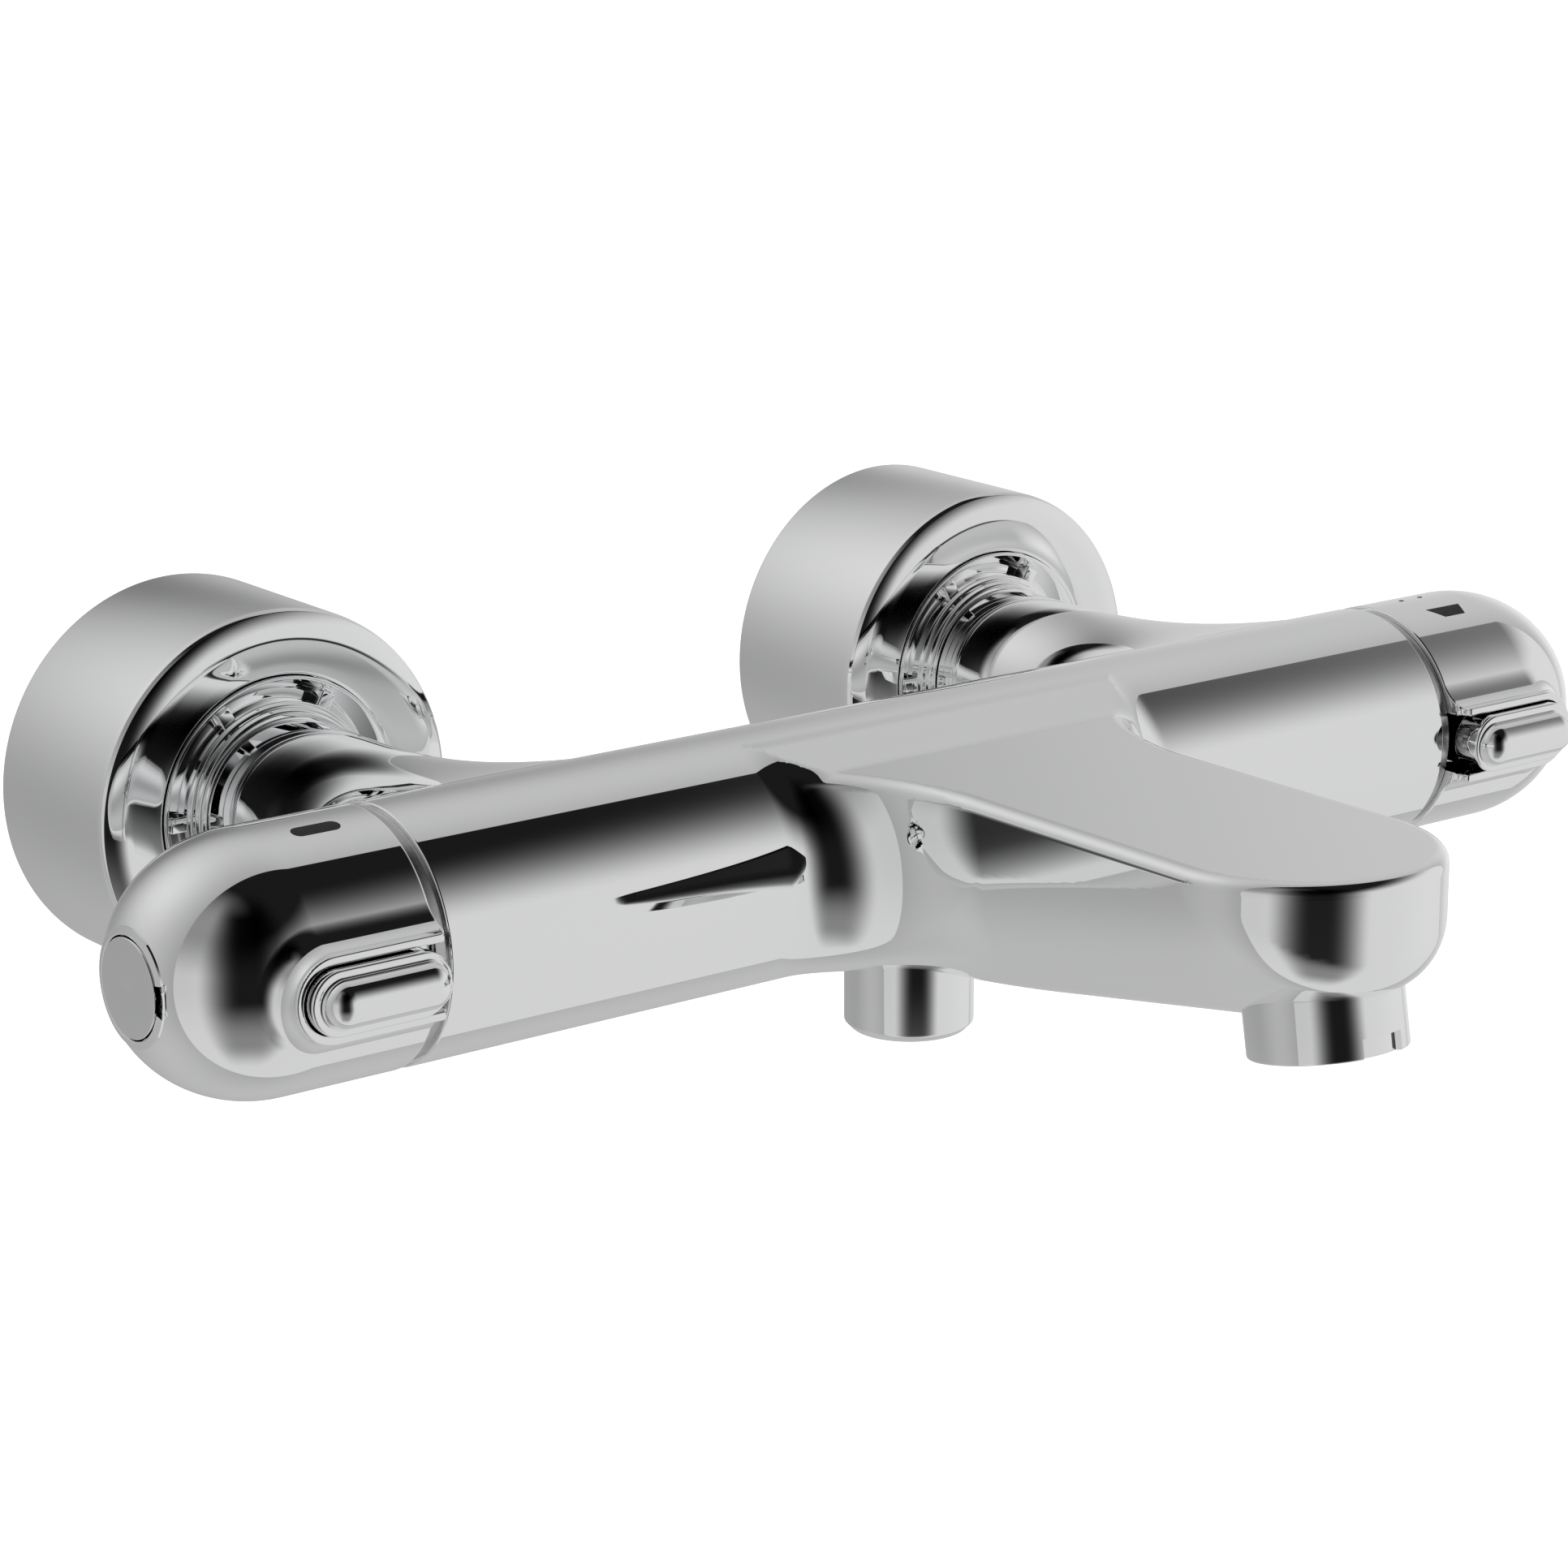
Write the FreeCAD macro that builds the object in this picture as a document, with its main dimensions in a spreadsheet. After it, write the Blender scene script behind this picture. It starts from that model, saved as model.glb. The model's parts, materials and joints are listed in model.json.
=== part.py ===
"""Wall mounted thermostatic bath mixer with spout, hose outlet and two turning end handles.

Frame: X to the right, Y into the wall, Z up. The origin lies on the wall, midway between the inlets.
All sizes are in millimetres. Driving sizes are cells of the sheet "Sizes".
"""

import FreeCAD, Part
import math
import os
import re
import Sketcher
from FreeCAD import Placement, Rotation, Vector

SIZES = {
    # inlets and wall roses
    "inlet_spacing": 150, "rose_wall_r": 32.5, "rose_rim_r": 32.05, "rose_depth": 32.9,
    "rose_wall": 1.4, "rose_dish": 0.5, "rose_collar_depth": 7, "rose_hole_r": 21.75,
    # eccentric S-unions, G1/2 in the wall and G3/4 to the nut
    "pipe_thread_r": 10.48, "pipe_thread_length": 14, "union_offset": 5, "union_web": 6,
    "union_thread_r": 13.2, "union_front": 22, "union_bore_r": 8, "stub_bore_r": 6.8, "web_r": 15,
    # union nuts
    "nut_r": 21.6, "nut_front": 33.5, "nut_back": 14, "nut_mouth_r": 19, "nut_floor": 30,
    "nut_ring_r": 17.4, "nut_ring_front": 33, "nut_step_r": 16.7, "nut_step_front": 34.4,
    "nut_lip_r": 16, "nut_lip_front": 35.4, "nut_edge": 0.4, "nut_lugs": 6, "nut_lug_width": 2.6,
    "nut_lug_front": 32.4,
    # inlet nipples and sieve washers
    "nipple_r": 10.6, "nipple_end": 48, "flange_r": 12.2, "flange_front": 27, "flange_back": 24,
    "washer_r": 12.4, "washer_hole_r": 7.5,
    # casting: tube, arms, chambers
    "tube_r": 19.86, "tube_out": 101.3, "tube_half": 100.6, "neck_r": 15.3, "neck_start": 35.7,
    "flare_start": 50, "flare_end": 97, "flare_side": 21, "flare_rise": 4.2, "flare_power": 2.5,
    "ellipse_trim": 0.001,
    "cartridge_bore_r": 15.4, "cartridge_bore_start": 42, "chamber_r": 9, "inlet_channel_r": 7.4,
    # casting: spout
    "spout_half_width": 22, "spout_nose": 188.7, "spout_top": 16, "belly_floor": 20.6,
    "belly_axis_out": 127, "belly_axis_height": 1.74, "belly_slope": 10, "spout_channel_r": 6,
    "spout_channel_height": 3, "spout_channel_end": 193, "top_edge_r": 2,
    # aerator
    "aerator_out": 195.6, "aerator_drop": 7.5, "aerator_tilt": 10.5, "aerator_r": 11.85,
    "aerator_length": 6.6, "aerator_seat": 3.7, "aerator_thread_r": 10.8, "aerator_thread_top": 9,
    "aerator_wall": 1.6, "aerator_slot_width": 7.2, "aerator_slot_depth": 3.3, "aerator_slot_reach": 0.9,
    "aerator_edge": 0.5, "seal_thickness": 1.4, "seal_hole_r": 6, "jet_r": 0.7, "jet_inner_r": 3,
    "jet_outer_r": 6, "jets_inner": 6, "jets_outer": 12, "insert_inset": 1,
    # hose outlet, G1/2
    "outlet_r": 10.48, "outlet_drop": 34.3, "outlet_collar_r": 10.9, "outlet_collar_end": 22,
    "outlet_chamfer": 1.2, "outlet_spigot_r": 8.4, "outlet_spigot_top": 14,
    # check valves
    "valve_r": 7.4, "valve_bore_r": 5.6, "valve_length": 13, "valve_seat_r": 4, "valve_lip": 1.5,
    "poppet_r": 4.9, "poppet_plate": 1.5, "stem_r": 1.2, "stem_hole_r": 1.27, "valve_travel": 2.5,
    "stem_gap": 0.4, "valve_spring_r": 2.6, "valve_spring_wire": 0.3,
    # handles
    "seam": 2.2, "dome_start": 122, "dome_length": 21.5, "handle_cavity_r": 15.9,
    "handle_cavity_end": 124, "hub_r": 7, "hub_start": 113, "spindle_r": 4, "web_end": 129,
    "cap_r": 7.4, "cap_face": 142, "cap_plate": 2.6, "cap_skirt_r": 6, "cap_skirt_start": 133.5,
    "cap_wall": 1.2, "cap_edge": 0.3,
    "pry_width": 5, "pry_depth": 1.4,
    # wings and their buttons
    "mound_half": 6.5, "mound_end": 128.4, "mound_top": 23, "mound_root": 0.4, "pocket_half": 5.1,
    "pocket_floor": 17.7, "pocket_end": 127.1, "button_half": 4.9, "button_start": 103.6, "button_end": 126.9,
    "button_bottom": 19.4, "button_top": 24.7, "crown_r": 3.6, "crown_start": 104.4, "crown_end": 125.3,
    "pin_x": 109.5, "pin_r": 1.2, "pin_bottom": 16.3, "button_spring_x": 117,
    "button_spring_r": 2, "button_spring_wire": 0.35, "spring_well_r": 2.6, "spring_well_depth": 3.2,
    # cartridges
    "housing_r": 15.2, "housing_end": 98, "thermostat_start": 44, "thermostat_bore_r": 11,
    "thermostat_base": 48, "port_r": 6.5, "piston_r": 10.95, "piston_hollow_r": 8.95, "piston_start": 62,
    "piston_floor": 65, "piston_end": 72, "wax_r": 4.5, "wax_start": 50, "wax_end": 84,
    "thermostat_spring_r": 8, "thermostat_spring_wire": 0.7, "spindle_neck_r": 6, "spindle_neck_end": 95,
    "spindle_bearing_end": 103.5, "spindle_end": 123.8, "spindle_thread_start": 115,
    "temperature_head_start": 85, "temperature_head_end": 89, "temperature_head_r": 10.5,
    "volume_head_end": 64, "volume_head_r": 10.8,
    "bearing_r": 8.15, "bearing_hole_r": 8.2, "retainer_r": 15.3, "retainer_end": 104, "retainer_step": 1,
    "diverter_start": 50, "disc_r": 11, "fixed_disc_start": 52, "disc_plane": 56, "moving_disc_end": 60,
    "stop_ring_start": 104, "stop_ring_end": 107.5, "stop_ring_r": 14.6, "stop_lug_r": 15.5,
    # seals, screws and marks
    "glide_r": 19.35, "glide_hole_r": 16.4, "o_ring_wire": 0.9, "screw_r": 2, "screw_head_r": 3.4,
    "screw_start": 116, "screw_head": 2, "seal_near": 60, "seal_far": 90, "running": 0.05,
    "mark_depth": 0.3, "mark_length": 8, "mark_width": 2.6, "mark_centre": 113.2, "pill_angle": -77,
    "pointer_angle": 72, "pointer_centre": 114.8, "pointer_length": 7.8,
    "pointer_width": 3, "pointer_slant": 1.9, "pointer_end_slant": 1.2, "dot_r": 0.45, "dot_near": 111,
    "dot_far": 115.5, "dot_angle": 94, "clearance": 0.1, "overlap": 1, "bar_root": 0.6,
}

doc = FreeCAD.newDocument("bath_mixer")
sheet = doc.addObject("Spreadsheet::Sheet", "Sizes")
for row, (alias, value) in enumerate(SIZES.items(), start=1):
    sheet.set(f"A{row}", alias)
    sheet.set(f"B{row}", str(value))
    sheet.setAlias(f"B{row}", alias)
doc.recompute()

subparts = []
RIGHT = Rotation(Vector(0, 0, 1), 0)
LEFT = Rotation(Vector(0, 1, 0), 180)
OUT_OF_WALL = Rotation(Vector(0, 0, 1), -90)
DOWNWARD = Rotation(Vector(0, 1, 0), 90)


def size(alias):
    """The number in a cell of the sheet."""
    return float(sheet.get(alias))


def bind(item, prop, formula):
    """Binds a property to a formula that names cells of the sheet."""
    def cell(match):
        word = match.group()
        return f"Sizes.{word}" if word in SIZES else word
    item.setExpression(prop, re.sub(r"[A-Za-z_][A-Za-z_0-9]*", cell, formula))


def place(item, base, turn):
    """Sets a turn and binds the three coordinates of the base."""
    item.Placement = Placement(Vector(0, 0, 0), turn)
    for letter, formula in zip("xyz", base):
        bind(item, f"Placement.Base.{letter}", formula)
    return item


def keep(item, label):
    """Names a finished sub-part."""
    item.Label = label
    subparts.append(item)
    return item


def turned(name, outline):
    """A body of revolution about its own X axis; the outline lists (along, radius) formulas."""
    body = doc.addObject("PartDesign::Body", name + "_body")
    sketch = body.newObject("Sketcher::SketchObject", name + "_outline")
    plane = next(f for f in body.Origin.OriginFeatures if f.Role == "XY_Plane")
    sketch.AttachmentSupport = [(plane, "")]
    sketch.MapMode = "FlatFace"
    count = len(outline)
    centre, spread = 60, 20
    angles = [2 * math.pi * k / count for k in range(count)]
    corners = [Vector(centre + spread * math.cos(a), centre - spread * math.sin(a), 0) for a in angles]
    for k in range(count):
        sketch.addGeometry(Part.LineSegment(corners[k], corners[(k + 1) % count]), False)
    for k in range(count):
        sketch.addConstraint(Sketcher.Constraint("Coincident", k, 2, (k + 1) % count, 1))
    for k, (along, radius) in enumerate(outline):
        if along == "0":
            sketch.addConstraint(Sketcher.Constraint("PointOnObject", k, 1, -2))
        else:
            number = sketch.addConstraint(Sketcher.Constraint("DistanceX", -1, 1, k, 1, corners[k].x))
            bind(sketch, f"Constraints[{number}]", along)
        if radius == "0":
            sketch.addConstraint(Sketcher.Constraint("PointOnObject", k, 1, -1))
        else:
            number = sketch.addConstraint(Sketcher.Constraint("DistanceY", -1, 1, k, 1, corners[k].y))
            bind(sketch, f"Constraints[{number}]", radius)
    turn = body.newObject("PartDesign::Revolution", name + "_turn")
    turn.Profile = sketch
    turn.ReferenceAxis = (sketch, ["H_Axis"])
    turn.Angle = 360
    body.Tip = turn
    return body


def tube(name, start, end, outer, inner):
    """A plain ring or sleeve between two stations of its own X axis."""
    return turned(name, [(start, inner), (start, outer), (end, outer), (end, inner)])


def rod(name, radius, length, base, turn=RIGHT):
    """A cylinder that starts at its base and runs along local X."""
    item = doc.addObject("Part::Cylinder", name)
    bind(item, "Radius", radius)
    bind(item, "Height", length)
    return place(item, base, turn.multiply(DOWNWARD))


def block(name, lengths, base, turn=RIGHT):
    """A box from its lowest corner."""
    item = doc.addObject("Part::Box", name)
    for prop, formula in zip(("Length", "Width", "Height"), lengths):
        bind(item, prop, formula)
    return place(item, base, turn)


def around(base, degrees):
    """A point turned about the X axis."""
    x, y, z = base
    return (x, f"({y}) * cos({degrees}) - ({z}) * sin({degrees})",
            f"({y}) * sin({degrees}) + ({z}) * cos({degrees})")


def ball(name, radius, base):
    """A full sphere."""
    item = doc.addObject("Part::Sphere", name)
    bind(item, "Radius", radius)
    return place(item, base, RIGHT)


def fuse(name, items):
    """One solid from several."""
    item = doc.addObject("Part::MultiFuse", name)
    item.Shapes = items
    item.Refine = True
    return item


def common(name, items):
    """The space that several solids share."""
    item = doc.addObject("Part::MultiCommon", name)
    item.Shapes = items
    item.Refine = True
    return item


def cut(name, base, tools):
    """A solid less its tools."""
    item = doc.addObject("Part::Cut", name)
    item.Base = base
    item.Tool = tools[0] if len(tools) == 1 else fuse(name + "_tools", tools)
    item.Refine = True
    return item


def capsule(name, start, end, half, low, high):
    """An upright slot shape: straight from start to end less its round ends, facing -Y."""
    pieces = [
        block(name + "_middle",
              (f"({end}) - ({start}) - 2 * ({half})", f"({high}) - ({low})", f"2 * ({half})"),
              (f"({start}) + ({half})", f"0 - ({high})", f"0 - ({half})")),
    ]
    for number, station in enumerate((f"({start}) + ({half})", f"({end}) - ({half})")):
        pieces.append(rod(f"{name}_end_{number}", half, f"({high}) - ({low})", (station, f"0 - ({low})", "0"),
                          OUT_OF_WALL))
    return fuse(name, pieces)


def spring(name, label, coil, wire, start, end, turns, base, turn):
    """A coil spring that runs along local X between two stations."""
    helix = doc.addObject("Part::Helix", name + "_helix")
    bind(helix, "Radius", coil)
    bind(helix, "Height", f"{end} - {start} - 2 * {wire}")
    bind(helix, "Pitch", f"({end} - {start} - 2 * {wire}) / {turns}")
    section = doc.addObject("Part::Circle", name + "_wire")
    bind(section, "Radius", wire)
    place(section, (coil, "0", "0"), Rotation(Vector(1, 0, 0), 90))
    sweep = doc.addObject("Part::Sweep", name)
    sweep.Sections = [section]
    sweep.Spine = (helix, ["Edge1"])
    sweep.Solid = True
    sweep.Frenet = True
    place(sweep, base, turn.multiply(DOWNWARD))
    return keep(sweep, label)


# ---------------------------------------------------------------- casting

def arm(name, side):
    """An inlet arm: a round neck whose flare runs into the back of the tube."""
    stations = 7
    sections = []
    for k in range(stations + 1):
        item = doc.addObject("Part::Ellipse", f"{name}_section_{k}")
        if k == 0:
            out, share = "neck_start", "0"
        else:
            share = f"({k - 1} / {stations - 1})"
            out = f"flare_start + (flare_end - flare_start) * {share}"
        bind(item, "MajorRadius", f"neck_r + flare_side * {share} ^ flare_power")
        bind(item, "MinorRadius", f"neck_r + flare_rise * {share} ^ flare_power - ellipse_trim")
        place(item, (f"{side} * inlet_spacing / 2", f"0 - ({out})", "0"), Rotation(Vector(1, 0, 0), 90))
        sections.append(item)
    loft = doc.addObject("Part::Loft", name + "_loft")
    loft.Sections = sections
    loft.Solid = True
    reach = block(name + "_reach", ("2 * tube_half", "tube_out", "2 * tube_half"),
                  ("0 - tube_half", "0 - tube_out", "0 - tube_half"))
    return common(name, [loft, reach])


def spout():
    """A flat topped tongue with straight flanks, a round nose and a rising round belly."""
    plan = fuse("spout_plan", [
        block("spout_straight",
              ("2 * spout_half_width", "spout_nose - tube_out", "2 * spout_half_width + spout_top"),
              ("0 - spout_half_width", "0 - spout_nose", "0 - 2 * spout_half_width")),
        place(make_upright("spout_round", "spout_half_width", "2 * spout_half_width + spout_top"),
              ("0", "0 - spout_nose", "0 - 2 * spout_half_width"), RIGHT),
    ])
    incline = Rotation(Vector(1, 0, 0), -size("belly_slope"))
    belly = rod("spout_belly", "spout_half_width", "2 * tube_out",
                ("0", "0 - belly_axis_out + tube_out * cos(belly_slope)",
                 "belly_axis_height - tube_out * sin(belly_slope)"),
                incline.multiply(OUT_OF_WALL))
    upper = block("spout_upper", ("2 * spout_half_width", "2 * tube_out", "2 * spout_half_width"),
                  ("0 - spout_half_width", "0 - belly_axis_out - tube_out * cos(belly_slope)",
                   "belly_axis_height + tube_out * sin(belly_slope)"), incline)
    section = fuse("spout_section", [belly, upper])
    floor = block("spout_floor", ("2 * spout_half_width", "3 * tube_out", "belly_floor + spout_top"),
                  ("0 - spout_half_width", "0 - 3 * tube_out", "0 - belly_floor"))
    return common("spout_tongue", [plan, section, floor])


def make_upright(name, radius, height):
    """A cylinder along Z."""
    item = doc.addObject("Part::Cylinder", name)
    bind(item, "Radius", radius)
    bind(item, "Height", height)
    return item


def rounded_top(tongue):
    """Rounds the rim of the spout's flat top."""
    doc.recompute()
    rim = []
    for number, edge in enumerate(tongue.Shape.Edges, start=1):
        box = edge.BoundBox
        level = abs(box.ZMin - size("spout_top")) < 0.01 and abs(box.ZMax - size("spout_top")) < 0.01
        if level and box.YMin < -size("tube_out") - size("overlap"):
            rim.append((number, size("top_edge_r"), size("top_edge_r")))
    item = doc.addObject("Part::Fillet", "spout_rounded")
    item.Base = tongue
    item.Edges = rim
    return item


AERATOR_TURN = Rotation(Vector(1, 0, 0), -size("aerator_tilt")).multiply(DOWNWARD)
AERATOR_BASE = ("0", "0 - aerator_out", "0 - aerator_drop")


def aerator_base(along):
    """A point of the aerator's axis, which leans forward as it goes down."""
    return ("0", f"0 - aerator_out - ({along}) * sin(aerator_tilt)",
            f"0 - aerator_drop - ({along}) * cos(aerator_tilt)")


def casting():
    """Tube, arms and spout as one casting with its bores."""
    outside = fuse("casting_outside", [
        rod("casting_tube", "tube_r", "2 * tube_half", ("0 - tube_half", "0 - tube_out", "0")),
        arm("left_arm", "-1"),
        arm("right_arm", "1"),
        rounded_top(spout()),
    ])
    bores = [
        rod("chamber", "chamber_r", "2 * cartridge_bore_start",
            ("0 - cartridge_bore_start", "0 - tube_out", "0")),
        rod("spout_channel", "spout_channel_r", "spout_channel_end - tube_out",
            ("0", "0 - tube_out", "spout_channel_height"), OUT_OF_WALL),
        rod("outlet_hole", "outlet_spigot_r + clearance", "belly_floor + overlap", ("0", "0 - tube_out", "0"),
            DOWNWARD),
        rod("aerator_recess", "aerator_r + clearance", "2 * aerator_seat", aerator_base("0 - aerator_seat"),
            AERATOR_TURN),
        rod("aerator_bore", "aerator_thread_r + clearance", "aerator_thread_top + 3 * overlap",
            aerator_base("0 - aerator_thread_top - 3 * overlap"), AERATOR_TURN),
    ]
    for name, side in (("left", "-1"), ("right", "1")):
        start = "cartridge_bore_start" if side == "1" else "0 - tube_half"
        bores.append(rod(f"{name}_cartridge_bore", "cartridge_bore_r", "tube_half - cartridge_bore_start",
                         (start, "0 - tube_out", "0")))
        bores.append(rod(f"{name}_nipple_bore", "nipple_r", "nipple_end - neck_start",
                         (f"{side} * inlet_spacing / 2", "0 - neck_start", "0"), OUT_OF_WALL))
        bores.append(rod(f"{name}_inlet_channel", "inlet_channel_r", "tube_out - nipple_end",
                         (f"{side} * inlet_spacing / 2", "0 - nipple_end", "0"), OUT_OF_WALL))
    keep(cut("casting", outside, bores), "mixer_body")


# ---------------------------------------------------------------- inlets

def inlet(name, side, water):
    """Wall rose, S-union, union nut, nipple, sieve washer and check valve of one inlet."""
    base = (f"{side} * inlet_spacing / 2", "0", "0")

    rose = turned(name + "_rose", [
        ("0", "rose_wall_r - rose_wall"), ("0", "rose_wall_r"), ("rose_depth - rose_wall / 2", "rose_rim_r"),
        ("rose_depth", "rose_rim_r - rose_wall / 2"), ("rose_depth - rose_dish", "nut_r + rose_dish * 6"),
        ("rose_depth - rose_dish", "rose_hole_r"), ("rose_depth - rose_collar_depth", "rose_hole_r"),
        ("rose_depth - rose_collar_depth", "rose_hole_r + rose_wall"),
        ("rose_depth - rose_dish - rose_wall", "rose_hole_r + rose_wall"),
        ("rose_depth - rose_dish - rose_wall", "rose_rim_r - rose_wall"),
    ])
    keep(place(rose, base, OUT_OF_WALL), name + "_wall_rose")

    nut = turned(name + "_nut", [
        ("nut_back", "union_thread_r + clearance / 2"), ("nut_back", "nut_r"), ("nut_front", "nut_r"),
        ("nut_front", "nut_r - nut_edge"), ("nut_floor", "nut_mouth_r"), ("nut_floor", "nut_ring_r"),
        ("nut_ring_front", "nut_ring_r"), ("nut_ring_front", "nut_step_r"), ("nut_step_front", "nut_step_r"),
        ("nut_step_front", "nut_lip_r"), ("nut_lip_front", "nut_lip_r"),
        ("nut_lip_front", "nipple_r + clearance"), ("flange_front", "nipple_r + clearance"),
        ("flange_front", "union_thread_r + clearance / 2"),
    ])
    lugs = []
    for k in range(int(size("nut_lugs"))):
        degrees = 360 * k / size("nut_lugs") + 90
        corner = around(("nut_floor - overlap", "nut_ring_r - bar_root", "0 - nut_lug_width / 2"), degrees)
        bar = ("nut_lug_front - nut_floor + overlap", "nut_mouth_r - nut_ring_r + 2 * overlap",
               "nut_lug_width")
        lugs.append(block(f"{name}_lug_{k}", bar, corner, Rotation(Vector(1, 0, 0), degrees)))
    castellated = fuse(name + "_castellated_nut", [nut] + lugs)
    keep(place(castellated, base, OUT_OF_WALL), name + "_union_nut")

    stub_base = (base[0], "pipe_thread_length", "0 - union_offset")
    outside = fuse(name + "_union_outside", [
        rod(name + "_union_front", "union_thread_r", "union_front", base, OUT_OF_WALL),
        rod(name + "_union_web", "web_r", "union_web", (base[0], "0", "0 - union_offset / 3"), OUT_OF_WALL),
        rod(name + "_union_stub", "pipe_thread_r", "pipe_thread_length + union_web / 2", stub_base,
            OUT_OF_WALL),
    ])
    union = cut(name + "_union", outside, [
        rod(name + "_front_bore", "union_bore_r", "union_front", (base[0], "0 - union_web", "0"),
            OUT_OF_WALL),
        rod(name + "_stub_bore", "stub_bore_r", "pipe_thread_length + 2 * union_web", stub_base,
            OUT_OF_WALL),
    ])
    keep(union, name + "_s_union")

    nipple = turned(name + "_nipple", [
        ("flange_back", "valve_r"), ("flange_back", "flange_r"), ("flange_front", "flange_r"),
        ("flange_front", "nipple_r"), ("nipple_end", "nipple_r"), ("nipple_end", "valve_r"),
    ])
    keep(place(nipple, base, OUT_OF_WALL), name + "_inlet_nipple")

    washer = tube(name + "_washer", "union_front", "flange_back", "washer_r", "washer_hole_r")
    keep(place(washer, base, OUT_OF_WALL), name + "_sieve_washer")

    check_valve(water, (base[0], "0 - flange_front", "0"), OUT_OF_WALL)


def check_valve(name, base, turn):
    """A sprung non-return valve; water flows along local X and pushes the poppet open."""
    shell = turned(name + "_valve_shell", [
        ("0", "valve_seat_r"), ("0", "valve_r"), ("valve_length", "valve_r"), ("valve_length", "stem_hole_r"),
        ("valve_length - valve_lip", "stem_hole_r"), ("valve_length - valve_lip", "valve_bore_r"),
        ("valve_lip", "valve_bore_r"), ("valve_lip", "valve_seat_r"),
    ])
    centre = ("valve_length - valve_lip * 1.5", "(valve_bore_r + stem_hole_r) / 2", "0")
    holes = [
        rod(f"{name}_flow_hole_{k}", "stem_r", "2 * valve_lip", around(centre, 90 * k)) for k in range(4)
    ]
    keep(place(cut(name + "_valve_housing", shell, holes), base, turn), name + "_check_valve")

    poppet = turned(name + "_poppet", [
        ("valve_lip", "0"), ("valve_lip", "poppet_r"), ("valve_lip + poppet_plate", "poppet_r"),
        ("valve_lip + poppet_plate", "stem_r"), ("valve_length - stem_gap", "stem_r"),
        ("valve_length - stem_gap", "0"),
    ])
    keep(place(poppet, base, turn), name + "_check_poppet")

    spring(name + "_valve_spring", name + "_check_spring", "valve_spring_r", "valve_spring_wire",
           "(valve_lip + poppet_plate)", "(valve_length - valve_lip)", 5,
           spring_base(base, turn, "valve_lip + poppet_plate + valve_spring_wire"), turn)


def spring_base(base, turn, along):
    """The base of a spring, moved along the local X axis of its piece."""
    ahead = turn.multVec(Vector(1, 0, 0))
    moved = []
    for formula, share in zip(base, ahead):
        moved.append(f"{formula} + {round(share)} * ({along})" if round(share) else formula)
    return tuple(moved)


# ---------------------------------------------------------------- handles

def end_frame(item, turn):
    """Puts a piece that was drawn about the tube's axis at one end of the tube."""
    return place(item, ("0", "0 - tube_out", "0"), turn)


def handle(name, turn, recess, label):
    """A hollow domed handle with a wing, a pocket for its button and a socket for its end cap."""
    dome = ellipse_dome(name)
    hollow = turned(name + "_hollow", [
        ("tube_half", "0"), ("tube_half", "handle_cavity_r"), ("handle_cavity_end", "handle_cavity_r"),
        ("handle_cavity_end", "hub_r"), ("hub_start", "hub_r"), ("hub_start", "0"),
    ])
    hub_bore = rod(name + "_hub_bore", "spindle_r + clearance / 2", "handle_cavity_end - hub_start + overlap",
                   ("hub_start - overlap", "0", "0"))
    screw_hole = rod(name + "_screw_hole", "screw_r + clearance", "web_end - hub_start",
                     ("hub_start", "0", "0"))
    socket = rod(name + "_cap_socket", "cap_skirt_r + clearance", "dome_length", ("web_end", "0", "0"))
    cap_seat = rod(name + "_cap_seat", "cap_r + clearance * 2", "dome_length",
                   ("cap_face - cap_plate", "0", "0"))
    pry = block(name + "_pry_slot", ("cap_plate * 2", "pry_depth + bar_root", "pry_width"),
                ("cap_face - cap_plate", "0 - cap_r - pry_depth", "0 - pry_width / 2"))
    mound = capsule(name + "_mound", "tube_half + seam - mound_half", "mound_end", "mound_half",
                    "handle_cavity_r + mound_root", "mound_top")
    trimmed = cut(name + "_trimmed_mound", mound, [
        rod(name + "_mound_trim", "2 * tube_r", "tube_r", ("tube_half + seam - tube_r", "0", "0")),
    ])
    pocket = capsule(name + "_pocket", "tube_half - pocket_half", "pocket_end", "pocket_half",
                     "pocket_floor", "2 * mound_top")
    pin_hole = rod(name + "_pin_hole", "pin_r + clearance * 2", "pocket_floor", ("pin_x", "0", "0"),
                   OUT_OF_WALL)
    outside = fuse(name + "_outside", [dome, trimmed])
    body = cut(name, outside, [hollow, hub_bore, screw_hole, socket, cap_seat, pry, pocket, pin_hole, recess])
    keep(end_frame(body, turn), label)


def ellipse_dome(name):
    """The handle's outside: a cylinder that ends in half an ellipse of revolution."""
    start, edge = size("tube_half") + size("seam"), size("dome_start")
    radius, tip = size("tube_r"), size("dome_start") + size("dome_length")
    ellipse = Part.Ellipse(Vector(edge, 0, 0), size("dome_length"), radius)
    outline = Part.Wire([
        Part.LineSegment(Vector(start, 0, 0), Vector(start, radius, 0)).toShape(),
        Part.LineSegment(Vector(start, radius, 0), Vector(edge, radius, 0)).toShape(),
        Part.ArcOfEllipse(ellipse, 0, math.pi / 2).toShape(),
        Part.LineSegment(Vector(tip, 0, 0), Vector(start, 0, 0)).toShape(),
    ])
    dome = doc.addObject("Part::Feature", name + "_dome")
    dome.Shape = Part.Face(outline).revolve(Vector(0, 0, 0), Vector(1, 0, 0), 360)
    return dome


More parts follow.
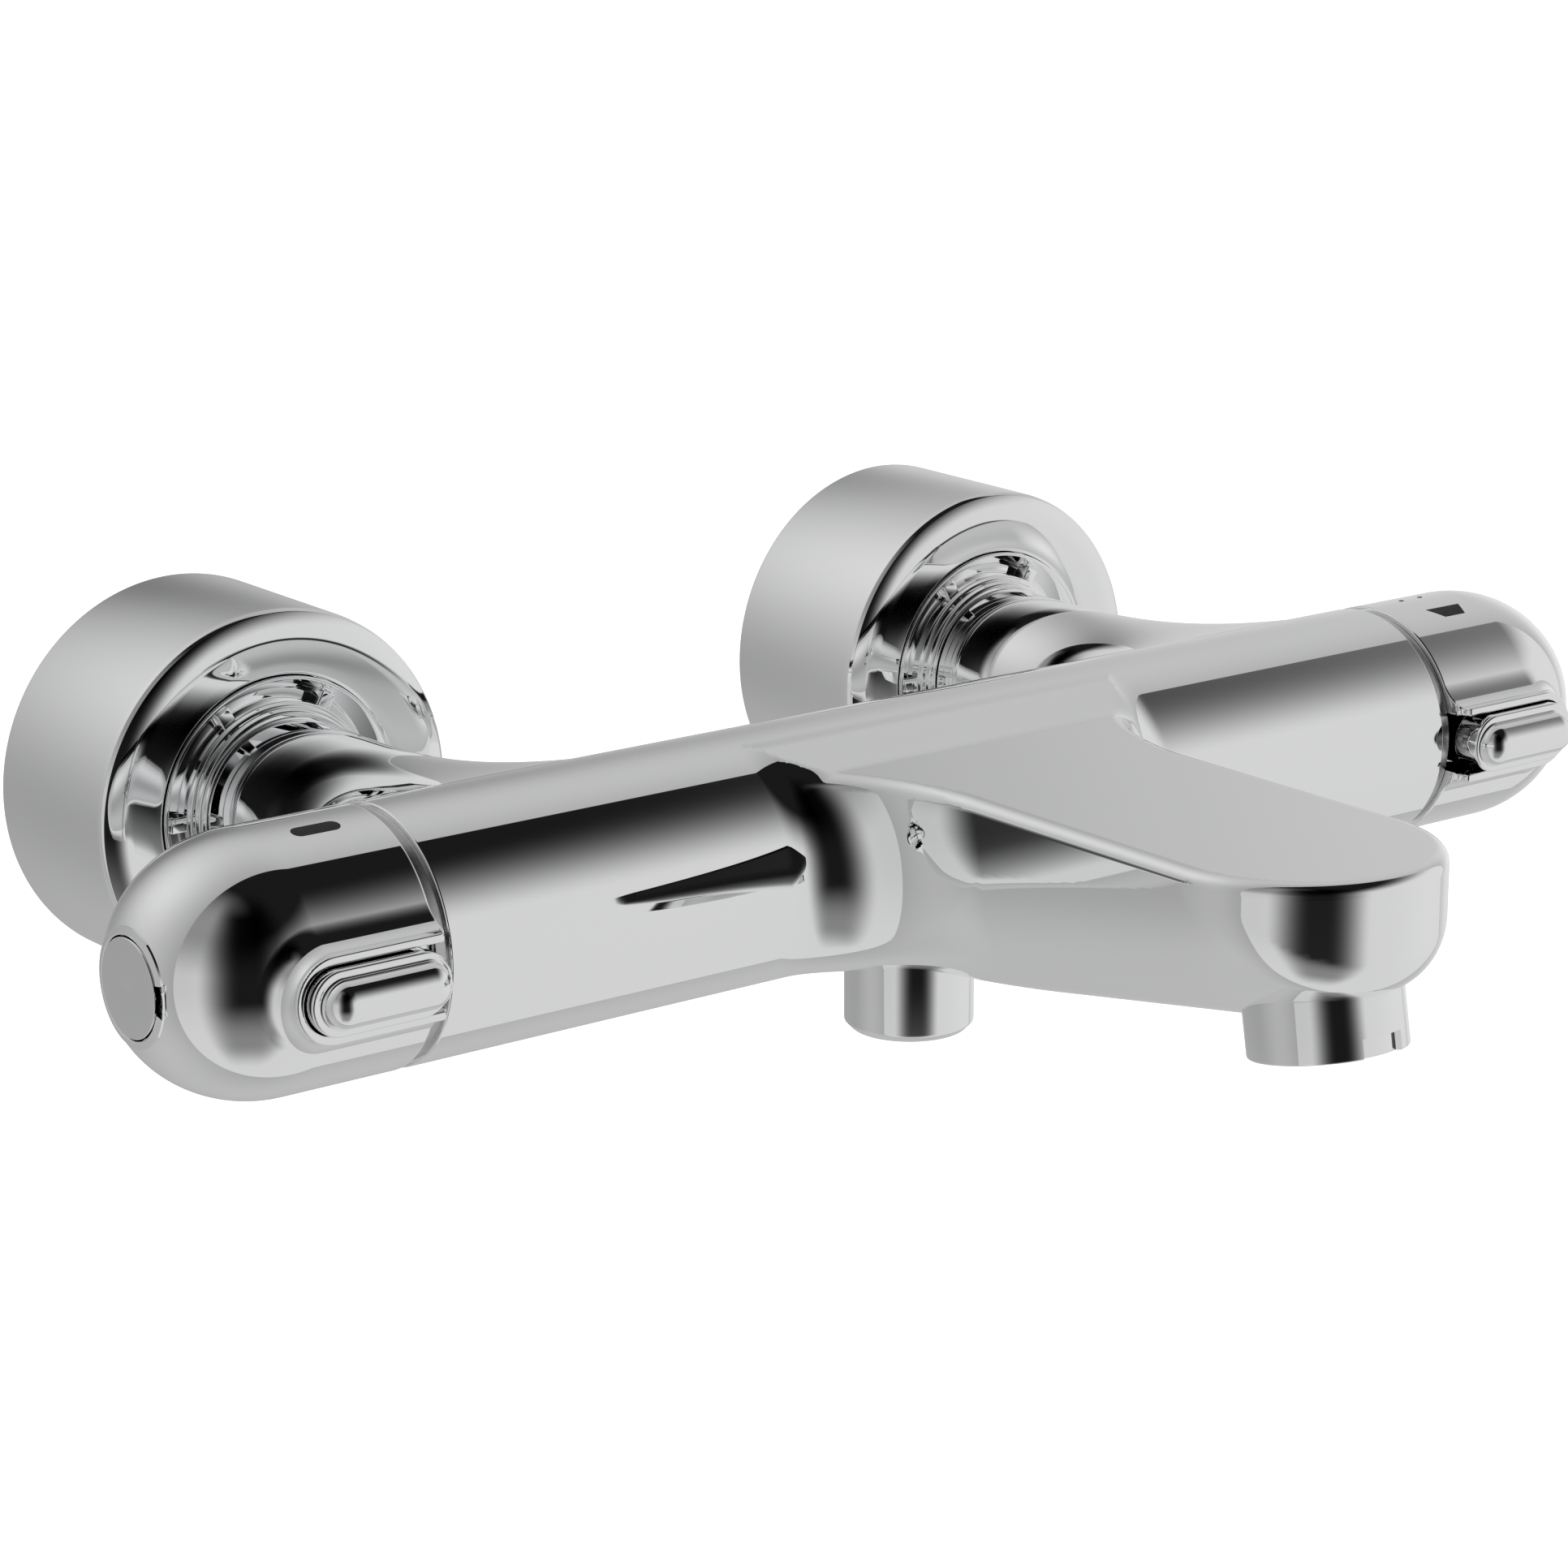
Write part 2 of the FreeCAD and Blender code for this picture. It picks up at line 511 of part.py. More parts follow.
def button(name, turn, label, spring_label):
    """The button in the wing: a stepped capsule on a spring, with a pin through the pocket floor."""
    plate = capsule(name + "_plate", "button_start", "button_end", "button_half", "button_bottom",
                    "button_top")
    crown = [
        rod(name + "_crown", "crown_r", "crown_end - crown_start - 2 * crown_r",
            ("crown_start + crown_r", "0 - button_top", "0")),
        ball(name + "_crown_near", "crown_r", ("crown_start + crown_r", "0 - button_top", "0")),
        ball(name + "_crown_far", "crown_r", ("crown_end - crown_r", "0 - button_top", "0")),
    ]
    pin = rod(name + "_pin", "pin_r", "button_top - pin_bottom", ("pin_x", "0 - pin_bottom", "0"),
              OUT_OF_WALL)
    well = rod(name + "_well", "spring_well_r", "spring_well_depth",
               ("button_spring_x", "0 - button_bottom", "0"), OUT_OF_WALL)
    whole = fuse(name + "_whole", [plate] + crown + [pin])
    keep(end_frame(cut(name, whole, [well]), turn), label)

    side = "-1" if turn is LEFT else "1"
    spring(name + "_coil", spring_label, "button_spring_r", "button_spring_wire", "pocket_floor",
           "(button_bottom + spring_well_depth)", 3,
           (f"{side} * button_spring_x", "0 - tube_out - pocket_floor - button_spring_wire", "0"),
           OUT_OF_WALL)


def end_cap(name, turn, label):
    """The flat cap over the handle screw, with a skirt that snaps into the socket."""
    cap = turned(name, [
        ("cap_face - cap_plate + clearance", "0"),
        ("cap_face - cap_plate + clearance", "cap_skirt_r - cap_wall"),
        ("cap_skirt_start", "cap_skirt_r - cap_wall"), ("cap_skirt_start", "cap_skirt_r"),
        ("cap_face - cap_plate + clearance", "cap_skirt_r"), ("cap_face - cap_plate + clearance", "cap_r"),
        ("cap_face - cap_edge", "cap_r"), ("cap_face", "cap_r - cap_edge"), ("cap_face", "0"),
    ])
    keep(end_frame(cap, turn), label)


def handle_screw(name, turn, label):
    """The screw that pulls the handle on to its spindle."""
    screw = turned(name, [
        ("screw_start", "0"), ("screw_start", "screw_r"), ("web_end", "screw_r"), ("web_end", "screw_head_r"),
        ("web_end + screw_head", "screw_head_r"), ("web_end + screw_head", "0"),
    ])
    keep(end_frame(screw, turn), label)


def rings(name, turn, side):
    """Glide ring in the seam, retaining nut, stop ring and the cartridge's two O-rings."""
    glide = tube(name + "_glide", "tube_half", "tube_half + seam - clearance", "glide_r", "glide_hole_r")
    keep(end_frame(glide, turn), name + "_glide_ring")

    retainer = turned(name + "_retainer", [
        ("housing_end", "bearing_hole_r"), ("housing_end", "retainer_r"), ("tube_half", "retainer_r"),
        ("tube_half", "retainer_r - retainer_step"), ("retainer_end", "retainer_r - retainer_step"),
        ("retainer_end", "bearing_hole_r"),
    ])
    keep(end_frame(retainer, turn), name + "_retaining_nut")

    ring = tube(name + "_stop", "stop_ring_start", "stop_ring_end", "stop_ring_r", "spindle_r + clearance")
    lug_size = ("stop_ring_end - stop_ring_start", "stop_lug_r - stop_ring_r + 2 * overlap", "nut_lug_width")
    lug = block(name + "_stop_lug", lug_size,
                ("stop_ring_start", "stop_ring_r - 2 * overlap", "0 - nut_lug_width / 2"))
    keep(end_frame(fuse(name + "_stop_whole", [ring, lug]), turn), name + "_stop_ring")

    seals = doc.addObject("Part::MultiFuse", name + "_seal_pair")
    seals.Shapes = [o_ring(f"{name}_seal_{k}", out) for k, out in enumerate(("seal_near", "seal_far"))]
    keep(end_frame(seals, turn), name + "_cartridge_o_rings")


def o_ring(name, along):
    """A rubber ring in a groove of the cartridge housing."""
    ring = doc.addObject("Part::Torus", name)
    bind(ring, "Radius1", "cartridge_bore_r - o_ring_wire")
    bind(ring, "Radius2", "o_ring_wire")
    return place(ring, (along, "0", "0"), DOWNWARD)


def groove(name, along):
    """The groove that holds an O-ring."""
    return tube(name, f"{along} - o_ring_wire", f"{along} + o_ring_wire", "cartridge_bore_r + overlap",
                "cartridge_bore_r - 2 * o_ring_wire")


def ports(name, stations):
    """Round windows through a cartridge housing, in line with the water channels."""
    return [rod(f"{name}_port_{k}", "port_r", "4 * tube_r", (out, "2 * tube_r", "0"), OUT_OF_WALL)
            for k, out in enumerate(stations)]


def spindle(name, turn, label, head_start, head_end, head_r):
    """A spindle with a head in the cartridge, a bearing in the retaining nut and an end in the handle."""
    shaft = turned(name, [
        (head_start, "0"), (head_start, head_r), (head_end, head_r), (head_end, "spindle_neck_r"),
        ("spindle_neck_end", "spindle_neck_r"), ("spindle_neck_end", "bearing_r"),
        ("spindle_bearing_end", "bearing_r"), ("spindle_bearing_end", "spindle_r"),
        ("spindle_end", "spindle_r"), ("spindle_end", "screw_r + running"),
        ("spindle_thread_start", "screw_r + running"), ("spindle_thread_start", "0"),
    ])
    keep(end_frame(shaft, turn), label)


def thermostat():
    """Thermostatic cartridge: housing, piston on a wax element, and the spring that returns it."""
    shell = turned("thermostat_shell", [
        ("thermostat_start", "wax_r + running"), ("thermostat_start", "housing_r"),
        ("housing_end", "housing_r"), ("housing_end", "thermostat_bore_r"),
        ("thermostat_base", "thermostat_bore_r"),
        ("thermostat_base", "wax_r + running"),
    ])
    body = cut("thermostat_body", shell, ports("thermostat", ("inlet_spacing / 2",))
               + [groove("thermostat_groove_a", "seal_near"), groove("thermostat_groove_b", "seal_far")])
    keep(end_frame(body, RIGHT), "thermostat_housing")
    piston = turned("regulating", [
        ("piston_start", "wax_r"), ("piston_start", "piston_r"), ("piston_end", "piston_r"),
        ("piston_end", "piston_hollow_r"), ("piston_floor", "piston_hollow_r"), ("piston_floor", "wax_r"),
    ])
    keep(end_frame(piston, RIGHT), "regulating_piston")
    wax = turned("wax", [("wax_start", "0"), ("wax_start", "wax_r"), ("wax_end", "wax_r"), ("wax_end", "0")])
    keep(end_frame(wax, RIGHT), "wax_element")
    spring("return_coil", "thermostat_spring", "thermostat_spring_r", "thermostat_spring_wire",
           "thermostat_base", "piston_start", 3,
           ("thermostat_base + thermostat_spring_wire", "0 - tube_out", "0"), RIGHT)
    spindle("temperature_shaft", RIGHT, "temperature_spindle", "temperature_head_start",
            "temperature_head_end", "temperature_head_r")


def diverter():
    """Ceramic cartridge for volume and diversion: housing and two ceramic discs."""
    shell = turned("diverter_shell", [
        ("diverter_start", "chamber_r - 2"), ("diverter_start", "housing_r"), ("housing_end", "housing_r"),
        ("housing_end", "disc_r + clearance"), ("fixed_disc_start", "disc_r + clearance"),
        ("fixed_disc_start", "chamber_r - 2"),
    ])
    body = cut("diverter_body", shell, ports("diverter", ("inlet_spacing / 2",))
               + [groove("diverter_groove_a", "seal_near"), groove("diverter_groove_b", "seal_far")])
    keep(end_frame(body, LEFT), "diverter_housing")
    for name, start, end, label in (
        ("fixed", "fixed_disc_start", "disc_plane", "fixed_ceramic_disc"),
        ("moving", "disc_plane + 0.02", "moving_disc_end", "turning_ceramic_disc"),
    ):
        blank = rod(name + "_blank", "disc_r", f"{end} - ({start})", (start, "0", "0"))
        windows = [
            rod(f"{name}_window_{k}", "disc_r / 4", "moving_disc_end", ("fixed_disc_start - 10", out, "0"))
            for k, out in enumerate(("disc_r / 2", "0 - disc_r / 2"))
        ]
        keep(end_frame(cut(name + "_disc", blank, windows), LEFT), label)
    spindle("volume_shaft", LEFT, "volume_spindle", "moving_disc_end", "volume_head_end", "volume_head_r")


# ---------------------------------------------------------------- marks, outlet and aerator

def skin(name, footprint):
    """The thin outer layer of the handle's straight part inside a footprint, as a mark inlay."""
    layer = tube(name + "_layer", "tube_half + seam", "dome_start", "tube_r", "tube_r - mark_depth")
    return common(name, [layer, footprint])


def upright_capsule(name, angle):
    """A capsule that stands radially over the top of the handle, turned up from the front."""
    item = capsule(name, "mark_centre - mark_length / 2", "mark_centre + mark_length / 2", "mark_width / 2",
                   "handle_cavity_r", "tube_r + 2 * overlap")
    item.Placement = Placement(Vector(0, 0, 0), Rotation(Vector(1, 0, 0), -size(angle)))
    return item


def arrow_prism(name, angle):
    """A four sided pointer with its tip towards the tube's middle, standing over the top of the handle."""
    centre = size("pointer_centre")
    half, reach = size("pointer_length") / 2, size("pointer_width") / 2
    front_start, front_end = size("pointer_slant") - half, half - size("pointer_end_slant")
    corners = [(-half, reach), (half, reach), (front_end, -reach), (front_start, -reach), (-half, reach)]
    wire = Part.makePolygon([Vector(centre + x, 0, z) for x, z in corners])
    item = doc.addObject("Part::Feature", name)
    item.Shape = Part.Face(wire).extrude(Vector(0, -size("tube_r") - 2 * size("overlap"), 0))
    item.Placement = Placement(Vector(0, 0, 0), Rotation(Vector(1, 0, 0), -size(angle)))
    return item


def dots(name, angle):
    """Small round scale dots behind the pointer."""
    turn = Rotation(Vector(1, 0, 0), -size(angle)).multiply(OUT_OF_WALL)
    return [rod(f"{name}_{k}", "dot_r", "tube_r + 2 * overlap", (along, "0", "0"), turn)
            for k, along in enumerate(("dot_near", "dot_far"))]


def volume_inlay(name):
    """The index mark of the volume handle."""
    return skin(name, upright_capsule(name + "_pill", "pill_angle"))


def temperature_inlay(name):
    """The pointer and the scale dots of the temperature handle."""
    pointer = arrow_prism(name + "_arrow", "pointer_angle")
    return skin(name, fuse(name + "_footprint", [pointer] + dots(name + "_dot", "dot_angle")))


def outlet():
    """The threaded hose outlet under the tube, with its check valve."""
    shell = turned("outlet_shell", [
        ("outlet_spigot_top", "valve_r"), ("outlet_spigot_top", "outlet_collar_r"),
        ("outlet_collar_end", "outlet_collar_r"), ("outlet_collar_end", "outlet_r"),
        ("outlet_drop - outlet_chamfer", "outlet_r"), ("outlet_drop", "outlet_r - outlet_chamfer"),
        ("outlet_drop", "valve_r"),
    ])
    place(shell, ("0", "0 - tube_out", "0"), DOWNWARD)
    hull = cut("outlet_hull", shell, [
        tube_clear("outlet_saddle"),
    ])
    spigot = tube("outlet_spigot", "outlet_spigot_top", "tube_r + 2 * overlap", "outlet_spigot_r", "valve_r")
    place(spigot, ("0", "0 - tube_out", "0"), DOWNWARD)
    keep(fuse("outlet_whole", [hull, spigot]), "hose_outlet")
    check_valve("outlet", ("0", "0 - tube_out", "0 - tube_r + overlap"), DOWNWARD)


def tube_clear(name):
    """The outside of the tube and the spout belly, as a cutter for what is fitted under them."""
    return fuse(name, [
        rod(name + "_tube", "tube_r + 0.02", "2 * tube_half", ("0 - tube_half", "0 - tube_out", "0")),
        block(name + "_belly", ("2 * spout_half_width", "tube_r", "2 * belly_floor"),
              ("0 - spout_half_width", "0 - tube_out - tube_r", "0 - belly_floor - 0.02")),
    ])


def aerator():
    """Aerator housing with its spanner slots, the jet insert and the seal above it."""
    shell = turned("aerator_shell", [
        ("0", "aerator_thread_r - aerator_wall"), ("0", "aerator_thread_r"),
        ("aerator_thread_top - aerator_seat", "aerator_thread_r"),
        ("aerator_thread_top - aerator_seat", "aerator_r"),
        ("aerator_thread_top + aerator_length - aerator_edge", "aerator_r"),
        ("aerator_thread_top + aerator_length", "aerator_r - aerator_edge"),
        ("aerator_thread_top + aerator_length", "aerator_thread_r - aerator_wall"),
    ])
    slots = []
    for k, side in enumerate(("1", "-1")):
        slots.append(block(f"aerator_slot_{k}",
                           ("2 * aerator_slot_depth", "2 * aerator_slot_reach", "aerator_slot_width"),
                           ("aerator_thread_top + aerator_length - aerator_slot_depth",
                            f"{side} * aerator_r - aerator_slot_reach", "0 - aerator_slot_width / 2")))
    top = aerator_base("0 - aerator_thread_top")
    keep(place(cut("aerator_cup", shell, slots), top, AERATOR_TURN), "aerator_housing")

    bore = "aerator_thread_r - aerator_wall"
    plate = turned("insert_plate", [
        ("insert_inset", "0"), ("insert_inset", bore),
        ("aerator_thread_top + aerator_length - insert_inset", bore),
        ("aerator_thread_top + aerator_length - insert_inset", "0"),
    ])
    jets = []
    for ring, jet_count in (("jet_inner_r", "jets_inner"), ("jet_outer_r", "jets_outer")):
        count = int(size(jet_count))
        for k in range(count):
            centre = around(("0", ring, "0"), 360 * k / count)
            jets.append(rod(f"{ring}_{k}", "jet_r", "2 * aerator_thread_top + aerator_length", centre))
    keep(place(cut("insert", plate, jets), top, AERATOR_TURN), "aerator_insert")

    seal = tube("seal", "0", "seal_thickness", "aerator_thread_r", "seal_hole_r")
    keep(place(seal, aerator_base("0 - aerator_thread_top - seal_thickness"), AERATOR_TURN), "aerator_seal")


def build():
    """Builds every sub-part."""
    casting()
    inlet("left", "-1", "hot")
    inlet("right", "1", "cold")
    thermostat()
    diverter()
    for name, turn in (("left", LEFT), ("right", RIGHT)):
        rings(name, turn, name)

    keep(end_frame(volume_inlay("volume_inlay"), LEFT), "volume_mark")
    keep(end_frame(temperature_inlay("temperature_inlay"), RIGHT), "temperature_mark")
    handle("volume_shell", LEFT, volume_inlay("volume_recess"), "volume_handle")
    handle("temperature_shell", RIGHT, temperature_inlay("temperature_recess"), "temperature_handle")
    for name, turn in (("volume", LEFT), ("temperature", RIGHT)):
        button(name + "_button", turn, name + "_stop_button", name + "_button_spring")
        end_cap(name + "_cap", turn, name + "_end_cap")
        handle_screw(name + "_screw", turn, name + "_handle_screw")
    outlet()
    aerator()


build()
doc.recompute()
faults = [f"{item.Name}: {item.State}" for item in doc.Objects if {"Invalid", "Error"} & set(item.State)]
faults += [f"{item.Label}: not a valid shape" for item in subparts
           if item.Shape.isNull() or not item.Shape.isValid()]
if faults:
    raise RuntimeError("; ".join(faults))
os.makedirs("parts", exist_ok=True)
for item in subparts:
    item.Shape.exportStep(f"parts/{item.Label}.step")
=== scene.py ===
import json
import math

import bmesh
import bpy
import numpy as np
from mathutils import Matrix, Vector


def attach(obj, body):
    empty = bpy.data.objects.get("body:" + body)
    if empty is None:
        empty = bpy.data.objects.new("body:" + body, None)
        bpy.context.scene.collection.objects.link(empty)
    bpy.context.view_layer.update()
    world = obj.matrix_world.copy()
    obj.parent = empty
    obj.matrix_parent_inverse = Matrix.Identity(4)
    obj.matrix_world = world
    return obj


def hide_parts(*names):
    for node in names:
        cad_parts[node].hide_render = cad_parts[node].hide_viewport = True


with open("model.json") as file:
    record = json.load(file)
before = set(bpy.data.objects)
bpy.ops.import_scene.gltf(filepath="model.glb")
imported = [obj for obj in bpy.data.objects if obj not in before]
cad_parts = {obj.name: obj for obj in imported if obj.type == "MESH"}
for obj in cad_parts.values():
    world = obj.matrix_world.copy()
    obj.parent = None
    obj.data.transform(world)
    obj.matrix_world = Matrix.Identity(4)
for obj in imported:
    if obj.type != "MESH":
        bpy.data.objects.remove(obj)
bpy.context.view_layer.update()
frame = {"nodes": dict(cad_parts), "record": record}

# Looks of a wall mounted thermostatic bath mixer. Shapes are worked out in millimetres in the
# part's own frame (X along the tube, wall at Y = 0, Z up) and scaled to metres when meshed.
MM = 0.001
ROUND = 2 * math.pi
TINY = 1e-6

# ---------------------------------------------------------------- sizes shared by the shapes

TUBE_OUT, TUBE_R, TUBE_HALF = 101.3, 19.86, 100.6
NECK_R, NECK_START, INLET = 15.3, 35.7, 75.0
FLARE_START, FLARE_END, FLARE_SIDE, FLARE_RISE = 50.0, 97.0, 21.0, 4.2
FLARE_POWER, FLARE_BOX = 2.5, 1.6
SPOUT_HALF, SPOUT_NOSE, SPOUT_TOP, SPOUT_FLOOR = 22.0, 188.7, 16.0, 20.6
NOSE_LIFT_START, NOSE_LIFT_R, NOSE_EDGE, TOP_EDGE = 186.0, 52.0, 3.5, 2.0
FLOOR_TUCK, TUCK_START, TUCK_END, FLOOR_EDGE = 1.3, 101.0, 118.0, 4.0
BELLY_OUT, BELLY_HEIGHT, BELLY_SLOPE = 127.0, 1.74, math.tan(math.radians(10))
SEAM_END, DOME_START, DOME_LENGTH = 102.8, 122.0, 21.5
CAP_FACE, CAP_R, CAP_SEAT, CAP_PLATE = 142.0, 7.4, 7.6, 2.6
MOUND_HALF, MOUND_END, MOUND_TOP, MOUND_ROOT = 6.5, 128.4, 23.0, 3.0
MOUND_FILLET, RIM_EDGE, MOUND_LEAN = 3.2, 0.35, 0.3
POCKET_HALF, POCKET_END, POCKET_FLOOR = 5.1, 127.1, 17.7
WING_BACK, WELL_INSIDE = 60.0, -5.0
BUTTON_HALF, BUTTON_START, BUTTON_END, BUTTON_LOW, BUTTON_TOP = 4.9, 103.6, 126.9, 19.4, 24.7
CROWN_R, CROWN_START, CROWN_END = 3.6, 104.4, 125.3
BUTTON_EDGE, CROWN_FILLET = 0.4, 0.5


# Fillets of the casting. Each pair of *_FROM and *_FULL says how far in front of the tube's axis,
# or behind it for the arms, an edge or fillet begins and has its whole size.
SPOUT_FILLET, SPOUT_FILLET_FULL = 24.0, 6.0
CREST_BLEND, CREST_BLEND_FULL, CREST_LEAN = 6.0, 8.0, 2.0
TOP_EDGE_FROM, TOP_EDGE_FULL = 9.0, 17.0
ARM_FILLET, ARM_FILLET_FROM, ARM_FILLET_FULL = 9.0, 1.0, 9.0
END_MARGIN, END_FADE = 1.0, 12.0
SIDE_BY_SIDE = 0.85
STEP, FINE_STEP = 0.05, 0.01


# ---------------------------------------------------------------- distance fields

def soft_or(a, b, radius):
    """Union of two solids with a round fillet."""
    radius = np.maximum(radius, TINY)
    corner = np.hypot(np.maximum(radius - a, 0), np.maximum(radius - b, 0))
    return np.maximum(radius, np.minimum(a, b)) - corner


def soft_and(a, b, radius):
    """Intersection of two solids with a rounded edge."""
    return -soft_or(-a, -b, radius)


def stadium(x, z, start, end, half):
    """Distance from an outline that is straight along X with round ends."""
    beyond = np.maximum(np.maximum(x - (end - half), (start + half) - x), 0)
    return np.hypot(beyond, z) - half


def ease(value, low, high):
    """Smooth step from 0 to 1."""
    share = np.clip((value - low) / (high - low), 0, 1)
    return share * share * (3 - 2 * share)


def tube_field(x, y, z):
    """The round tube, endless along X."""
    return np.hypot(y + TUBE_OUT, z) - TUBE_R + 0 * x


def arm_field(x, y, z):
    """Both inlet arms: round necks that flare into the back of the tube."""
    share = np.clip((-y - FLARE_START) / (FLARE_END - FLARE_START), 0, 1) ** FLARE_POWER
    wide = NECK_R + FLARE_SIDE * share
    tall = NECK_R + FLARE_RISE * share
    power = 2 + FLARE_BOX * share
    side, up = np.abs(np.abs(x) - INLET) / wide, np.abs(z) / tall
    reach = np.maximum((side ** power + up ** power) ** (1 / power), TINY)
    slope = np.hypot((side / reach) ** (power - 1) / wide, (up / reach) ** (power - 1) / tall)
    return np.maximum((reach - 1) / slope, -y - TUBE_OUT)


def spout_field(x, y, z):
    """The tongue without its top: straight flanks, a round nose and a rising belly."""
    ahead = np.maximum(-y - SPOUT_NOSE, 0)
    plan = np.hypot(x, ahead) - SPOUT_HALF
    front = np.clip(ahead / np.maximum(np.hypot(x, ahead), TINY), 0, 1)
    lift = np.maximum(-y - NOSE_LIFT_START, 0) ** 2 / (2 * NOSE_LIFT_R)
    axis = BELLY_HEIGHT + (-y - BELLY_OUT) * BELLY_SLOPE + lift
    below = np.minimum(z - axis, 0) * math.cos(math.atan(BELLY_SLOPE))
    belly = np.hypot(x, below) - SPOUT_HALF
    floor = SPOUT_FLOOR - FLOOR_TUCK * ease(y, -TUCK_END, -TUCK_START)
    under = soft_and(belly, -z - floor + 0 * x, FLOOR_EDGE)
    return np.maximum(soft_and(plan, under, NOSE_EDGE * front), y + TUBE_OUT)


def crest_height(y):
    """Height of the top surface: over the tube's ridge and softly down to the spout's flat top."""
    ridge = np.sqrt(np.maximum(TUBE_R ** 2 - (y + TUBE_OUT) ** 2, 0))
    top = np.where(-y > TUBE_OUT, SPOUT_TOP, -TUBE_R)
    width = CREST_BLEND * ease(-y, TUBE_OUT, TUBE_OUT + CREST_BLEND_FULL)
    near = np.maximum(width - np.abs(ridge - top), 0)
    return np.maximum(ridge, top) + near ** 2 / (4 * CREST_BLEND)


def joined(field, part, x, y, z, radius):
    """Adds a part to the tube with a fillet that fades where the two surfaces run side by side."""
    other = part(x, y, z)
    out = np.maximum(np.hypot(y + TUBE_OUT, z), TINY)
    slope_y = (part(x, y + STEP, z) - part(x, y - STEP, z)) / (2 * STEP)
    slope_z = (part(x, y, z + STEP) - part(x, y, z - STEP)) / (2 * STEP)
    along = (slope_y * (y + TUBE_OUT) + slope_z * z) / out
    return soft_or(field, other, radius * ease(1 - along, 0, SIDE_BY_SIDE))


def body_field(x, y, z):
    """The whole casting: tube and spout with a fillet, cut off by the top surface, and the arms."""
    front = SPOUT_FILLET * ease(-y, TUBE_OUT, TUBE_OUT + SPOUT_FILLET_FULL)
    body = joined(tube_field(x, y, z), spout_field, x, y, z, front)
    lean = (crest_height(y + STEP) - crest_height(y - STEP)) / (2 * STEP)
    over = (z - crest_height(y)) / np.hypot(1, np.clip(lean, -CREST_LEAN, CREST_LEAN))
    edge = TOP_EDGE * ease(-y, TUBE_OUT + TOP_EDGE_FROM, TUBE_OUT + TOP_EDGE_FULL)
    body = soft_and(body, over + 0 * x, edge)
    fade = (np.clip((TUBE_HALF - END_MARGIN - np.abs(x)) / END_FADE, 0, 1)
            * ease(y, ARM_FILLET_FROM - TUBE_OUT, ARM_FILLET_FULL - TUBE_OUT))
    return joined(body, arm_field, x, y, z, ARM_FILLET * fade)


def handle_field(x, u, z):
    """A handle in its own frame: X outward along the tube, U from its axis away from the wall."""
    out = np.hypot(u, z)
    past = np.maximum(x - DOME_START, 0)
    reach = np.hypot(past / DOME_LENGTH, out / TUBE_R)
    slope = np.maximum(np.hypot(past / DOME_LENGTH ** 2, out / TUBE_R ** 2), TINY)
    dome = reach * (reach - 1) / slope
    outline = stadium(x, z, WING_BACK, MOUND_END, MOUND_HALF)
    mound = soft_and(outline, u - MOUND_TOP + 0 * x, RIM_EDGE)
    lean = SEAM_END + MOUND_LEAN * (u - TUBE_R) - x
    lean = np.where(u > TUBE_R - MOUND_ROOT, lean, WELL_INSIDE)
    mound = soft_and(np.maximum(mound, -u), lean, RIM_EDGE)
    whole = soft_or(dome, mound, MOUND_FILLET)
    opening = stadium(x, z, WING_BACK, POCKET_END, POCKET_HALF)
    pocket = np.maximum(opening, POCKET_FLOOR - u + 0 * x)
    return soft_and(whole, -pocket, RIM_EDGE)


def button_field(x, u, z):
    """A stop button: a stepped plate with a half round crown."""
    plate = soft_and(stadium(x, z, BUTTON_START, BUTTON_END, BUTTON_HALF),
                     np.maximum(u - BUTTON_TOP, BUTTON_LOW - u) + 0 * x, BUTTON_EDGE)
    beyond = np.maximum(np.maximum(x - (CROWN_END - CROWN_R), (CROWN_START + CROWN_R) - x), 0)
    crown = np.sqrt(beyond ** 2 + (u - BUTTON_TOP) ** 2 + z ** 2) - CROWN_R
    return soft_or(plate, crown, CROWN_FILLET)


# ---------------------------------------------------------------- from field to mesh

def slope_of(field, points):
    """Gradient of a field at points."""
    x, y, z = points.T
    step = FINE_STEP
    return np.stack([field(x + step, y, z) - field(x - step, y, z),
                     field(x, y + step, z) - field(x, y - step, z),
                     field(x, y, z + step) - field(x, y, z - step)], axis=1) / (2 * step)


def settle(field, points, rounds=4, farthest=0.5):
    """Moves points on to the surface, by Newton steps of limited length."""
    for _ in range(rounds):
        slope = slope_of(field, points)
        size = np.maximum((slope ** 2).sum(1), 1e-9)
        move = np.clip(field(*points.T) / size, -farthest, farthest)
        points = points - slope * move[:, None]
    return points


